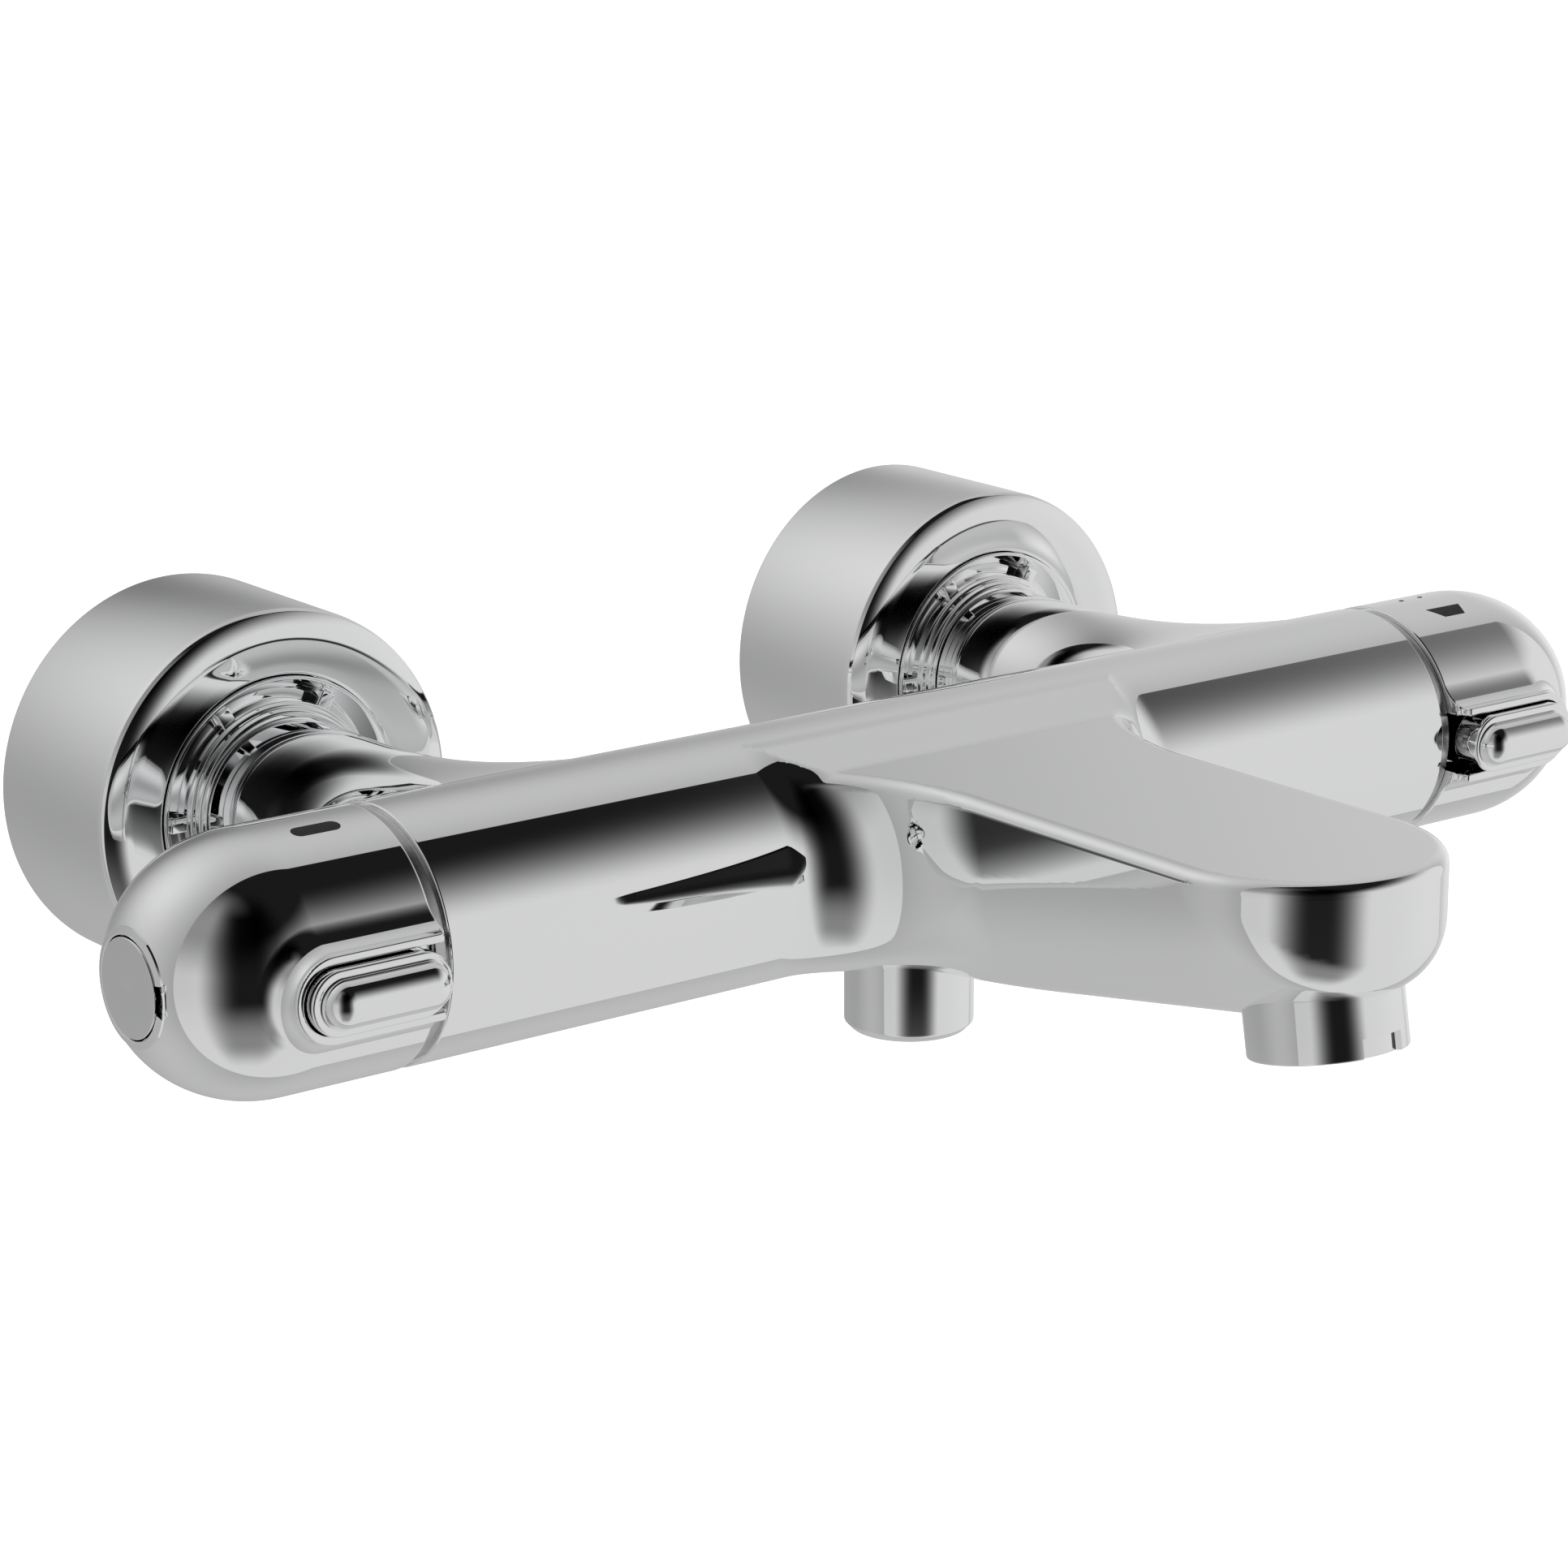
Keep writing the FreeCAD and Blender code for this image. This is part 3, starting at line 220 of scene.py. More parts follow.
def meshed(field, low, high, pitch):
    """Quads over the zero level of a field, by surface nets."""
    axes = [np.arange(a, b + pitch, pitch) for a, b in zip(low, high)]
    grid = np.ix_(*axes)
    value = field(*grid)
    value = np.broadcast_to(value, tuple(len(a) for a in axes))
    inside = value < 0
    corners = [(i, j, k) for i in (0, 1) for j in (0, 1) for k in (0, 1)]
    shape = tuple(n - 1 for n in inside.shape)

    def part(array, corner):
        return array[tuple(slice(c, c + n) for c, n in zip(corner, shape))]

    count = sum(part(inside, c).astype(np.int8) for c in corners)
    cells = np.argwhere((count > 0) & (count < 8))
    number = np.full(shape, -1, np.int64)
    number[tuple(cells.T)] = np.arange(len(cells))
    total, hits = np.zeros((len(cells), 3)), np.zeros(len(cells))
    for a in corners:
        for axis in range(3):
            if a[axis]:
                continue
            b = tuple(c + (n == axis) for n, c in enumerate(a))
            va = value[tuple((cells + a).T)]
            vb = value[tuple((cells + b).T)]
            cross = (va < 0) != (vb < 0)
            share = np.where(cross, va / np.where(cross, va - vb, 1), 0)
            point = np.repeat([a], len(cells), axis=0).astype(float)
            point[:, axis] += share
            total += point * cross[:, None]
            hits += cross
    points = np.array(low) + (cells + total / hits[:, None]) * pitch
    quads = []
    for axis in range(3):
        first = tuple(slice(None, -1) if n == axis else slice(1, -1) for n in range(3))
        second = tuple(slice(1, None) if n == axis else slice(1, -1) for n in range(3))
        at, after = inside[first], inside[second]
        for start, flip in ((at & ~after, False), (~at & after, True)):
            spot = np.argwhere(start) + [0 if n == axis else 1 for n in range(3)]
            p, q = [n for n in range(3) if n != axis]
            if axis == 1:
                p, q = q, p
            ring = []
            for dp, dq in ((-1, -1), (0, -1), (0, 0), (-1, 0)):
                cell = spot.copy()
                cell[:, p] += dp
                cell[:, q] += dq
                ring.append(number[tuple(cell.T)])
            quad = np.stack(ring, axis=1)
            quads.append(quad[:, ::-1] if flip else quad)
    return settle(field, points), np.concatenate(quads)


def field_bmesh(field, low, high, pitch):
    """A bmesh of a field's surface."""
    points, quads = meshed(field, low, high, pitch)
    mesh = bpy.data.meshes.new("surface")
    mesh.from_pydata(points.tolist(), [], quads.tolist())
    work = bmesh.new()
    work.from_mesh(mesh)
    bpy.data.meshes.remove(mesh)
    return work


def slice_off(work, point, normal, close=1e-3):
    """Cuts away what lies beyond a plane and returns the open ring that is left there."""
    everything = work.verts[:] + work.edges[:] + work.faces[:]
    bmesh.ops.bisect_plane(work, geom=everything, dist=1e-5, plane_co=point, plane_no=normal,
                           clear_outer=True)
    point, normal = Vector(point), Vector(normal)
    return [e for e in work.edges if e.is_boundary
            and all(abs((v.co - point).dot(normal)) < close for v in e.verts)]


def across_axis(axis):
    """An axis with two directions square to it."""
    axis = Vector(axis).normalized()
    side = Vector((0, 0, 1)) if abs(axis.z) < 0.9 else Vector((0, 1, 0))
    side = (side - axis * side.dot(axis)).normalized()
    return axis, side, axis.cross(side)


def add_face(work, corners):
    """A face through the corners that differ, or none when fewer than three are left."""
    kept = [c for n, c in enumerate(corners) if c not in corners[:n]]
    if len(kept) > 2:
        work.faces.new(kept)


def rings_from(work, edges, centre, axis, profile, shaped=None):
    """Runs an open round edge on along a lathe profile of (along, radius) steps.

    Along and radius are measured from the centre along the axis, and a last radius of 0 closes the
    end; shaped(along, radius, angle) may change the radius around the ring.
    """
    axis, side, other = across_axis(axis)
    centre = Vector(centre)
    verts = list({v for e in edges for v in e.verts})
    angle = {v: math.atan2((v.co - centre).dot(other), (v.co - centre).dot(side)) for v in verts}
    previous = {v: v for v in verts}
    for along, radius in profile:
        ring = {}
        if radius == 0:
            tip = work.verts.new(centre + axis * along)
            ring = {v: tip for v in verts}
        else:
            for v in verts:
                r = shaped(along, radius, angle[v]) if shaped else radius
                out = side * math.cos(angle[v]) + other * math.sin(angle[v])
                ring[v] = work.verts.new(centre + axis * along + out * r)
        for edge in edges:
            a, b = edge.verts
            loop = edge.link_loops[0] if edge.link_loops else None
            if loop is not None and loop.vert == a:
                a, b = b, a
            add_face(work, [previous[a], previous[b], ring[b], ring[a]])
        previous = ring


def arc(centre, radius, start, end, steps=6):
    """Points of an arc in the (along, radius) plane, angles in degrees from the along direction."""
    turns = [math.radians(start + (end - start) * k / steps) for k in range(steps + 1)]
    return [(centre[0] + radius * math.cos(turn), centre[1] + radius * math.sin(turn))
            for turn in turns]


SHARP_ANGLE, NORMAL_ANGLE, ON_SURFACE = math.radians(32), math.radians(30), 2e-3


def finished(name, work, body, slot, replaces, place=None, field=None):
    """Turns a bmesh in millimetres into a piece, with exact normals where its field gives them.

    place(points, normal) takes a handle's own frame, which is mirrored, to the part's frame.
    """
    bmesh.ops.recalc_face_normals(work, faces=work.faces[:])
    if place is not None:
        bmesh.ops.reverse_faces(work, faces=work.faces[:])
    mesh = bpy.data.meshes.new(name)
    work.to_mesh(mesh)
    work.free()
    count = len(mesh.vertices)
    points = np.empty(count * 3)
    mesh.vertices.foreach_get("co", points)
    points = points.reshape(-1, 3)
    mesh.shade_smooth()
    mesh.set_sharp_from_angle(angle=SHARP_ANGLE)
    if field is not None:
        loops = np.empty(len(mesh.loops), np.int64)
        mesh.loops.foreach_get("vertex_index", loops)
        normals = np.empty(len(mesh.loops) * 3)
        mesh.corner_normals.foreach_get("vector", normals)
        normals = normals.reshape(-1, 3) * (1 if place is None else -1)
        on_surface = np.abs(field(*points.T)) < ON_SURFACE
        exact = slope_of(field, points)
        exact /= np.maximum(np.linalg.norm(exact, axis=1), 1e-9)[:, None]
        exact = exact[loops]
        near = on_surface[loops] & ((exact * normals).sum(1) > math.cos(NORMAL_ANGLE))
        normals[near] = exact[near]
    if place is not None:
        points = place(points)
        if field is not None:
            normals = place(normals, True)
    mesh.vertices.foreach_set("co", (points * MM).astype(np.float32).ravel())
    if field is not None:
        mesh.normals_split_custom_set(normals.tolist())
    mesh.update()
    return piece(name, mesh, body, slot, replaces)


def piece(name, mesh, body, slot, replaces):
    """A shown object that rides on a body."""
    obj = bpy.data.objects.new(name, mesh)
    bpy.context.scene.collection.objects.link(obj)
    obj.data.materials.append(MATERIALS[slot])
    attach(obj, body)
    if replaces:
        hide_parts(*replaces)
    return obj


# ---------------------------------------------------------------- turned pieces

def rounded(profile, radius, steps=4, straight=math.radians(165), most=0.45):
    """Rounds every corner of an open profile, using no more than a share of its two sides."""
    points = [Vector(p) for p in profile]
    result = [points[0]]
    for before, corner, after in zip(points, points[1:], points[2:]):
        back, ahead = before - corner, after - corner
        turn = back.angle(ahead, math.pi)
        if turn > straight:
            result.append(corner)
            continue
        cut = min(radius / math.tan(turn / 2), back.length * most, ahead.length * most)
        a, b = corner + back.normalized() * cut, corner + ahead.normalized() * cut
        for k in range(steps + 1):
            t = k / steps
            result.append(a * (1 - t) ** 2 + corner * 2 * t * (1 - t) + b * t * t)
    result.append(points[-1])
    return [(p.x, p.y) for p in result]


def lathe(profile, base, axis, segments=256, shaped=None):
    """A bmesh turned about an axis from a closed outline of (along, radius) points.

    shaped(along, radius, angle) may change the radius around a ring.
    """
    work = bmesh.new()
    axis, side, other = across_axis(axis)
    rows = []
    for along, radius in profile:
        spot = Vector(base) + axis * along
        if radius <= 0:
            rows.append([work.verts.new(spot)] * segments)
            continue
        row = []
        for k in range(segments):
            angle = ROUND * k / segments
            r = shaped(along, radius, angle) if shaped else radius
            out = side * math.cos(angle) + other * math.sin(angle)
            row.append(work.verts.new(spot + out * r))
        rows.append(row)
    for first, second in zip(rows, rows[1:] + rows[:1]):
        for k in range(segments):
            after = (k + 1) % segments
            add_face(work, [first[k], first[after], second[after], second[k]])
    return work


def outline_of(profile, edge):
    """A closed outline with its corners slightly rounded, all but the first."""
    return rounded(profile + [profile[0]], edge)[:-1]


def turned_piece(name, profile, base, axis, body, slot, replaces, edge=0.15, segments=256):
    """A lathe piece with its corners slightly rounded."""
    work = lathe(outline_of(profile, edge), base, axis, segments)
    return finished(name, work, body, slot, replaces)


# ---------------------------------------------------------------- materials

def shader(name, metallic, roughness, colour):
    """A material with its principled shader, and helpers to add nodes."""
    material = bpy.data.materials.new(name)
    material.use_nodes = True
    nodes, links = material.node_tree.nodes, material.node_tree.links
    surface = nodes["Principled BSDF"]
    surface.inputs["Metallic"].default_value = metallic
    surface.inputs["Roughness"].default_value = roughness
    surface.inputs["Base Color"].default_value = (*colour, 1)
    place = nodes.new("ShaderNodeTexCoord")
    return material, nodes, links, surface, place


def mottled(nodes, links, place, scale, detail, low, high):
    """Object space noise, as a value between two limits."""
    noise_low, noise_high = 0.3, 0.7
    noise = nodes.new("ShaderNodeTexNoise")
    noise.inputs["Scale"].default_value = scale
    noise.inputs["Detail"].default_value = detail
    links.new(place.outputs["Object"], noise.inputs["Vector"])
    span = nodes.new("ShaderNodeMapRange")
    span.inputs["From Min"].default_value = noise_low
    span.inputs["From Max"].default_value = noise_high
    span.inputs["To Min"].default_value = low
    span.inputs["To Max"].default_value = high
    links.new(noise.outputs["Fac"], span.inputs["Value"])
    return span.outputs["Result"]


def tinted(nodes, links, place, scale, first, second):
    """A colour that drifts between two tones."""
    factor = mottled(nodes, links, place, scale, 4, 0, 1)
    mix = nodes.new("ShaderNodeMix")
    mix.data_type = "RGBA"
    mix.inputs["A"].default_value = (*first, 1)
    mix.inputs["B"].default_value = (*second, 1)
    links.new(factor, mix.inputs["Factor"])
    return mix.outputs["Result"]


def bumped(nodes, links, place, surface, scale, distance, strength):
    """Fine surface grain."""
    noise = nodes.new("ShaderNodeTexNoise")
    noise.inputs["Scale"].default_value = scale
    noise.inputs["Detail"].default_value = 3
    links.new(place.outputs["Object"], noise.inputs["Vector"])
    bump = nodes.new("ShaderNodeBump")
    bump.inputs["Distance"].default_value = distance
    bump.inputs["Strength"].default_value = strength
    links.new(noise.outputs["Fac"], bump.inputs["Height"])
    links.new(bump.outputs["Normal"], surface.inputs["Normal"])


def made(name, metallic, rough_low, rough_high, first, second, scale, grain=None, **sockets):
    """A procedural finish: drifting colour, mottled roughness and an optional grain.

    grain is (scale, distance, strength) of a bump; further sockets are set by name.
    """
    material, nodes, links, surface, place = shader(name, metallic, rough_low, first)
    colour = tinted(nodes, links, place, scale, first, second)
    links.new(colour, surface.inputs["Base Color"])
    gloss = mottled(nodes, links, place, scale * 2.3, 3, rough_low, rough_high)
    links.new(gloss, surface.inputs["Roughness"])
    if grain:
        bumped(nodes, links, place, surface, *grain)
    for socket, value in sockets.items():
        surface.inputs[socket.replace("_", " ")].default_value = value
    return material


MATERIALS = {
    "polished_chrome": made("polished_chrome", 1, 0.012, 0.03,
                            (0.93, 0.935, 0.94), (0.95, 0.95, 0.95), 9),
    "mark_black": made("mark_black", 0, 0.32, 0.45,
                       (0.006, 0.006, 0.007), (0.011, 0.011, 0.012), 700,
                       (2500, 0.00002, 0.3), Specular_IOR_Level=0.1),
    "raw_brass": made("raw_brass", 1, 0.28, 0.42,
                      (0.72, 0.52, 0.25), (0.60, 0.42, 0.20), 60,
                      (900, 0.00005, 0.25)),
    "valve_plastic": made("valve_plastic", 0, 0.38, 0.5,
                          (0.055, 0.057, 0.062), (0.075, 0.077, 0.083), 120,
                          (1500, 0.00003, 0.3)),
    "aerator_plastic": made("aerator_plastic", 0, 0.35, 0.48,
                            (0.50, 0.51, 0.52), (0.57, 0.58, 0.58), 150,
                            (1500, 0.00003, 0.3)),
    "seal_rubber": made("seal_rubber", 0, 0.6, 0.75,
                        (0.018, 0.018, 0.018), (0.028, 0.028, 0.028), 200,
                        (1800, 0.00004, 0.4)),
    "spring_steel": made("spring_steel", 1, 0.22, 0.35,
                         (0.62, 0.62, 0.62), (0.53, 0.53, 0.54), 200,
                         (2200, 0.00001, 0.1)),
    "valve_ceramic": made("valve_ceramic", 0, 0.25, 0.32,
                          (0.86, 0.85, 0.82), (0.80, 0.79, 0.76), 150,
                          (1500, 0.00002, 0.15)),
}

for row in frame["record"]["materials"]:
    for node in row.get("nodes", []):
        shown = frame["nodes"][node]
        shown.data.materials.clear()
        shown.data.materials.append(MATERIALS[row["slot"]])


# ---------------------------------------------------------------- casting

BORE_R, BORE_START = 15.4, 42.0
NIPPLE_R, NIPPLE_END, CHANNEL_R, CHANNEL_END = 10.6, 48, 7.4, 66
END_STRIP, END_EDGE = 1.2, 0.3
BODY_BOX = (-102.57, -213.13, -27.09), (102.6, -30.1, 24.1)
HANDLE_BOX = (101.3, -20.91, -20.93), (141.0, 24.3, 21.1)
BUTTON_BOX = (102.9, 18.7, -5.53), (127.6, 29.1, 5.5)
BODY_PITCH, HANDLE_PITCH, BUTTON_PITCH = (1.4, 0.75), (0.7, 0.33), (0.45, 0.24)


def pitch_of(coarse, fine):
    return fine


def build_body():
    """Tube, arms and spout as one polished casting with its open ends."""
    work = field_bmesh(body_field, *BODY_BOX, pitch_of(*BODY_PITCH))
    broken = arc((0, 0), END_EDGE, 90, 0)
    for side in (-1, 1):
        start = TUBE_HALF - END_STRIP
        ring = slice_off(work, (side * start, 0, 0), (side, 0, 0))
        profile = [(TUBE_HALF - END_EDGE + a, TUBE_R - END_EDGE + r) for a, r in broken]
        profile += [(TUBE_HALF, BORE_R), (BORE_START, BORE_R), (BORE_START, 0)]
        rings_from(work, ring, (0, -TUBE_OUT, 0), (side, 0, 0), profile)
    ring = slice_off(work, (0, -NECK_START - END_STRIP, 0), (0, 1, 0))
    for side in (-1, 1):
        mine = [e for e in ring if e.verts[0].co.x * side > 0]
        profile = [(-NECK_START - END_EDGE + a, NECK_R - END_EDGE + r) for a, r in broken]
        profile += [(-NECK_START, NIPPLE_R), (-NIPPLE_END, NIPPLE_R), (-NIPPLE_END, CHANNEL_R),
                    (-CHANNEL_END, CHANNEL_R), (-CHANNEL_END, 0)]
        rings_from(work, mine, (side * INLET, 0, 0), (0, 1, 0), profile)
    finished("chromed_casting", work, "mixer", "polished_chrome", ["mixer_body"], field=body_field)


# ---------------------------------------------------------------- handles

SEAT_CUT, SEAT_STATIONS, DOME_STOP = 0.8, 10, 141.2
LIP_FACE, LIP_R, SCREW_R, SCREW_FLOOR = 141.55, 8.91, 6.1, 133.5
RIM_STEPS = [(0.02, 0.3), (0.1, 0.08), (0.3, 0)]
HANDLE_CUT, HANDLE_EDGE, HOLLOW_R, HOLLOW_END = 103.2, 0.25, 15.9, 124
NOTCH_AT, NOTCH_HALF_ANGLE = -math.pi / 2, math.atan2(2.5, 8.8)
NOTCH_DEPTH, NOTCH_REACH = 1.4, 0.31


def right_end(points, normal=False):
    """From a handle's own frame to the right end of the tube."""
    shift = 0 if normal else TUBE_OUT
    return np.stack([points[:, 0], -points[:, 1] - shift, points[:, 2]], axis=1)


def left_end(points, normal=False):
    """From a handle's own frame to the left end of the tube."""
    shift = 0 if normal else TUBE_OUT
    return np.stack([-points[:, 0], -points[:, 1] - shift, -points[:, 2]], axis=1)


def dome_r(x):
    """Radius of the dome at a station."""
    return TUBE_R * math.sqrt(max(1 - ((x - DOME_START) / DOME_LENGTH) ** 2, 0))


def notch(along, radius, angle):
    """The rim of the cap's seat, with the pry slot in its front side."""
    reach = radius - CAP_SEAT
    if reach > NOTCH_REACH or reach < -0.01:
        return radius
    front = abs(math.atan2(math.sin(angle - NOTCH_AT), math.cos(angle - NOTCH_AT)))
    if front < NOTCH_HALF_ANGLE:
        return (CAP_R + NOTCH_DEPTH) / math.cos(front) + reach
    return radius


def build_handle(name, place, body, replaces):
    """A domed handle with its wing, pocket, cap seat and hollow inside."""
    work = field_bmesh(handle_field, *HANDLE_BOX, pitch_of(*HANDLE_PITCH))
    ring = slice_off(work, (HANDLE_CUT, 0, 0), (-1, 0, 0))
    build_handle_end(work, ring)
    seat = DOME_START + DOME_LENGTH * SEAT_CUT
    ring = slice_off(work, (seat, 0, 0), (1, 0, 0))
    profile = [(x, dome_r(x)) for x in np.linspace(seat, DOME_STOP, SEAT_STATIONS)[1:]]
    profile += [(LIP_FACE, LIP_R)]
    rim = DOME_START + DOME_LENGTH * math.sqrt(1 - (CAP_SEAT / TUBE_R) ** 2)
    profile += [(rim - back, CAP_SEAT + wider) for back, wider in RIM_STEPS]
    plate = CAP_FACE - CAP_PLATE
    profile += [(plate, CAP_SEAT), (plate, SCREW_R), (SCREW_FLOOR, SCREW_R), (SCREW_FLOOR, 0)]
    rings_from(work, ring, (0, 0, 0), (1, 0, 0), profile, notch)
    finished(name, work, body, "polished_chrome", replaces, place, handle_field)


def build_handle_end(work, ring, steps=4):
    """The handle's ring shaped end at the seam, and its cavity."""
    verts = list({v for e in ring for v in e.verts})
    rows = []
    for turn in np.radians(np.linspace(0, 90, steps + 1)[1:]):
        along, inset = HANDLE_EDGE * math.sin(turn), HANDLE_EDGE * (1 - math.cos(turn))
        base = Vector((SEAM_END + HANDLE_EDGE - along, 0, 0))
        row = {}
        for v in verts:
            out = Vector((0, v.co.y, v.co.z))
            row[v] = work.verts.new(base + out * (1 - inset / out.length))
        rows.append(row)
    for station in (SEAM_END, HOLLOW_END):
        row = {}
        for v in verts:
            out = Vector((0, v.co.y, v.co.z)).normalized()
            row[v] = work.verts.new(Vector((station, 0, 0)) + out * HOLLOW_R)
        rows.append(row)
    tip = work.verts.new((HOLLOW_END, 0, 0))
    rows.append({v: tip for v in verts})
    previous = {v: v for v in verts}
    for row in rows:
        for e in ring:
            a, b = e.verts
            add_face(work, [previous[a], previous[b], row[b], row[a]])
        previous = row


def build_button(name, place, body, replaces):
    """A stop button."""
    work = field_bmesh(button_field, *BUTTON_BOX, pitch_of(*BUTTON_PITCH))
    finished(name, work, body, "polished_chrome", replaces, place, button_field)


# ---------------------------------------------------------------- inlets

# Outlines of (distance from the wall, radius).
ROSE_OUTLINE = ([(0, 31.1), (0, 32.5), (30.2, 32.35), (31.4, 32.25)]
                + arc((24.9, 27.2), 8.5, 33, 0, 12)
                + [(33.3, 24), (33.2, 22.2), (32.8, 21.75), (26, 21.75), (26, 23.15),
                   (31.0, 23.15), (31.0, 30.4)])
NUT_OUTLINE = [(14, 13.3), (14, 21.6), (33.5, 21.6), (33.5, 21.1), (30, 19), (30, 17.4),
               (33, 17.4), (33, 16.7), (34.4, 16.7), (34.4, 16), (35.4, 16), (35.4, 10.75),
               (27, 10.75), (27, 13.3)]
LUGS, LUG_SIZE, LUG_EDGE, LUG_AT = 6, (2.6, 3.6, 3.6), 0.3, (0, -30.8, 18.2)


def build_inlet(name, side):
    """Wall rose and union nut of one inlet."""
    base, out = (side * INLET, 0, 0), (0, -1, 0)
    turned_piece(name + "_rose_shell", ROSE_OUTLINE, base, out, "mixer", "polished_chrome",
                 [name + "_wall_rose"], edge=0.35, segments=384)
    work = lathe(outline_of(NUT_OUTLINE, 0.22), base, out)
    for k in range(LUGS):
        add_lug(work, base, ROUND * k / LUGS + math.pi / 2)
    finished(name + "_castellated_nut", work, "mixer", "polished_chrome", [name + "_union_nut"])


def add_lug(work, base, angle):
    """A small bar across the nut's groove, with broken edges."""
    cube = bmesh.ops.create_cube(work, size=1)
    verts = cube["verts"]
    for v in verts:
        v.co = Vector(v.co[n] * LUG_SIZE[n] for n in range(3))
    edges = list({e for v in verts for e in v.link_edges})
    bevel = bmesh.ops.bevel(work, geom=edges, offset=LUG_EDGE, segments=3, profile=0.5,
                            affect="EDGES")
    faces = set(bevel["faces"])
    stack = list(bevel["faces"])
    while stack:
        face = stack.pop()
        for e in face.edges:
            for linked in e.link_faces:
                if linked not in faces:
                    faces.add(linked)
                    stack.append(linked)
    turn = Matrix.Rotation(angle, 4, "Y")
    spot = Matrix.Translation(base) @ turn @ Matrix.Translation(LUG_AT)
    for v in {v for f in faces for v in f.verts}:
        v.co = spot @ v.co


# ---------------------------------------------------------------- outlet and aerator

# Outline of (distance below the tube's axis, radius).
OUTLET_OUTLINE = [(17, 7.4), (17, 10.48), (33.1, 10.48), (34.3, 9.3), (34.3, 7.4)]
AERATOR_AT, AERATOR_TILT = (0, -195.6, -7.5), math.radians(10.5)
AERATOR_R, AERATOR_BORE, AERATOR_START, AERATOR_END, AERATOR_EDGE = 11.85, 9.2, -3.7, 5.8, 0.3
SLOT_DEPTH, SLOT_HALF, SLOT_REACH, SLOT_WALL = 3.0, 3.6, 0.9, 0.002


def build_outlet():
    """The hose outlet below the tube."""
    turned_piece("hose_outlet_stub", OUTLET_OUTLINE, (0, -TUBE_OUT, 0), (0, 0, -1), "mixer",
                 "polished_chrome", ["hose_outlet"], edge=0.6)


def slotted(along, radius, angle):
    """The aerator's rim, cut back in its two spanner slots."""
    across = abs(math.sin(angle)) * AERATOR_R
    low = AERATOR_END - SLOT_DEPTH + 1e-4
    if across < SLOT_HALF and along > low and radius > AERATOR_R - SLOT_REACH:
        return radius - SLOT_REACH
    return radius


def build_aerator():
    """The aerator housing with its two spanner slots."""
    axis = (0, -math.sin(AERATOR_TILT), -math.cos(AERATOR_TILT))
    outline = [(AERATOR_START, AERATOR_BORE), (AERATOR_START, AERATOR_R), (AERATOR_END, AERATOR_R),
               (AERATOR_END, AERATOR_BORE)]
    profile = outline_of(outline, AERATOR_EDGE)
    floor = AERATOR_END - SLOT_DEPTH
    pairs = zip(profile, profile[1:])
    spot = next(n for n, (a, b) in enumerate(pairs) if a[0] < floor < b[0]) + 1
    profile[spot:spot] = [(floor, AERATOR_R), (floor + SLOT_WALL, AERATOR_R)]
    work = lathe(profile, AERATOR_AT, axis, 288, shaped=slotted)
    finished("aerator_shell", work, "mixer", "polished_chrome", ["aerator_housing"])


# ---------------------------------------------------------------- caps, seam rings and marks

# Outlines of (distance from the tube's middle, radius).
CAP_OUTLINE = [(139.5, 0.001), (139.5, 4.8), (133.5, 4.8), (133.5, 6), (139.5, 6), (139.5, CAP_R),
               (CAP_FACE, CAP_R), (CAP_FACE, 0.001)]
SEAM_OUTLINE = [(100.61, 16.4), (100.61, 19.1), (102.7, 19.1), (102.7, 16.4)]
INLAY_LOW, INLAY_HIGH = TUBE_R - 0.25, TUBE_R + 0.04
PILL_ANGLE, PILL_CENTRE, PILL_HALF, PILL_R = 77, 113.2, 4, 1.3
POINTER_ANGLE, POINTER_CENTRE, POINTER_HALF, POINTER_HALF_WIDTH = 72, 114.8, 3.9, 1.5
POINTER_TAPER_FAR, POINTER_TAPER_NEAR = 1.2, 1.9
DOT_ANGLE, DOT_R, DOTS = 94, 0.45, (111, 115.5)


def build_end(name, side, body, ring_name):
    """End cap and seam ring of one end."""
    axis, base = (side, 0, 0), (0, -TUBE_OUT, 0)
    turned_piece(name + "_cap_disc", CAP_OUTLINE, base, axis, body, "polished_chrome",
                 [name + "_end_cap"], edge=0.14)
    turned_piece(ring_name + "_seam_ring", SEAM_OUTLINE, base, axis, "mixer", "spring_steel",
                 [ring_name + "_glide_ring"], edge=0.1)


def inlay(name, outlines, body, replaces, end):
    """Marks that wrap the top of a handle, slightly proud of it.

    outlines are closed rows of (along, arc length from the top towards the front).
    """
    work = bmesh.new()

    def vertex(along, across, radius):
        turn = math.radians(90) - across / TUBE_R
        return work.verts.new((along * end, -TUBE_OUT - radius * math.cos(turn),
                               radius * math.sin(turn)))

    for outline in outlines:
        low, high = [[vertex(along, across, radius) for along, across in outline]
                     for radius in (INLAY_LOW, INLAY_HIGH)]
        count = len(outline)
        middle = [sum(p[n] for p in outline) / count for n in (0, 1)]
        for row, radius in ((low, INLAY_LOW), (high, INLAY_HIGH)):
            tip = vertex(*middle, radius)
            for a, b in zip(row, row[1:] + row[:1]):
                work.faces.new((a, b, tip))
        for k in range(count):
            after = (k + 1) % count
            work.faces.new((low[k], low[after], high[after], high[k]))
    finished(name, work, body, "mark_black", replaces)


def closed_path(corners, steps=8):
    """Extra points along each side of an outline."""
    path = []
    for a, b in zip(corners, corners[1:] + corners[:1]):
        path += [tuple(p + (q - p) * k / steps for p, q in zip(a, b)) for k in range(steps)]
    return path


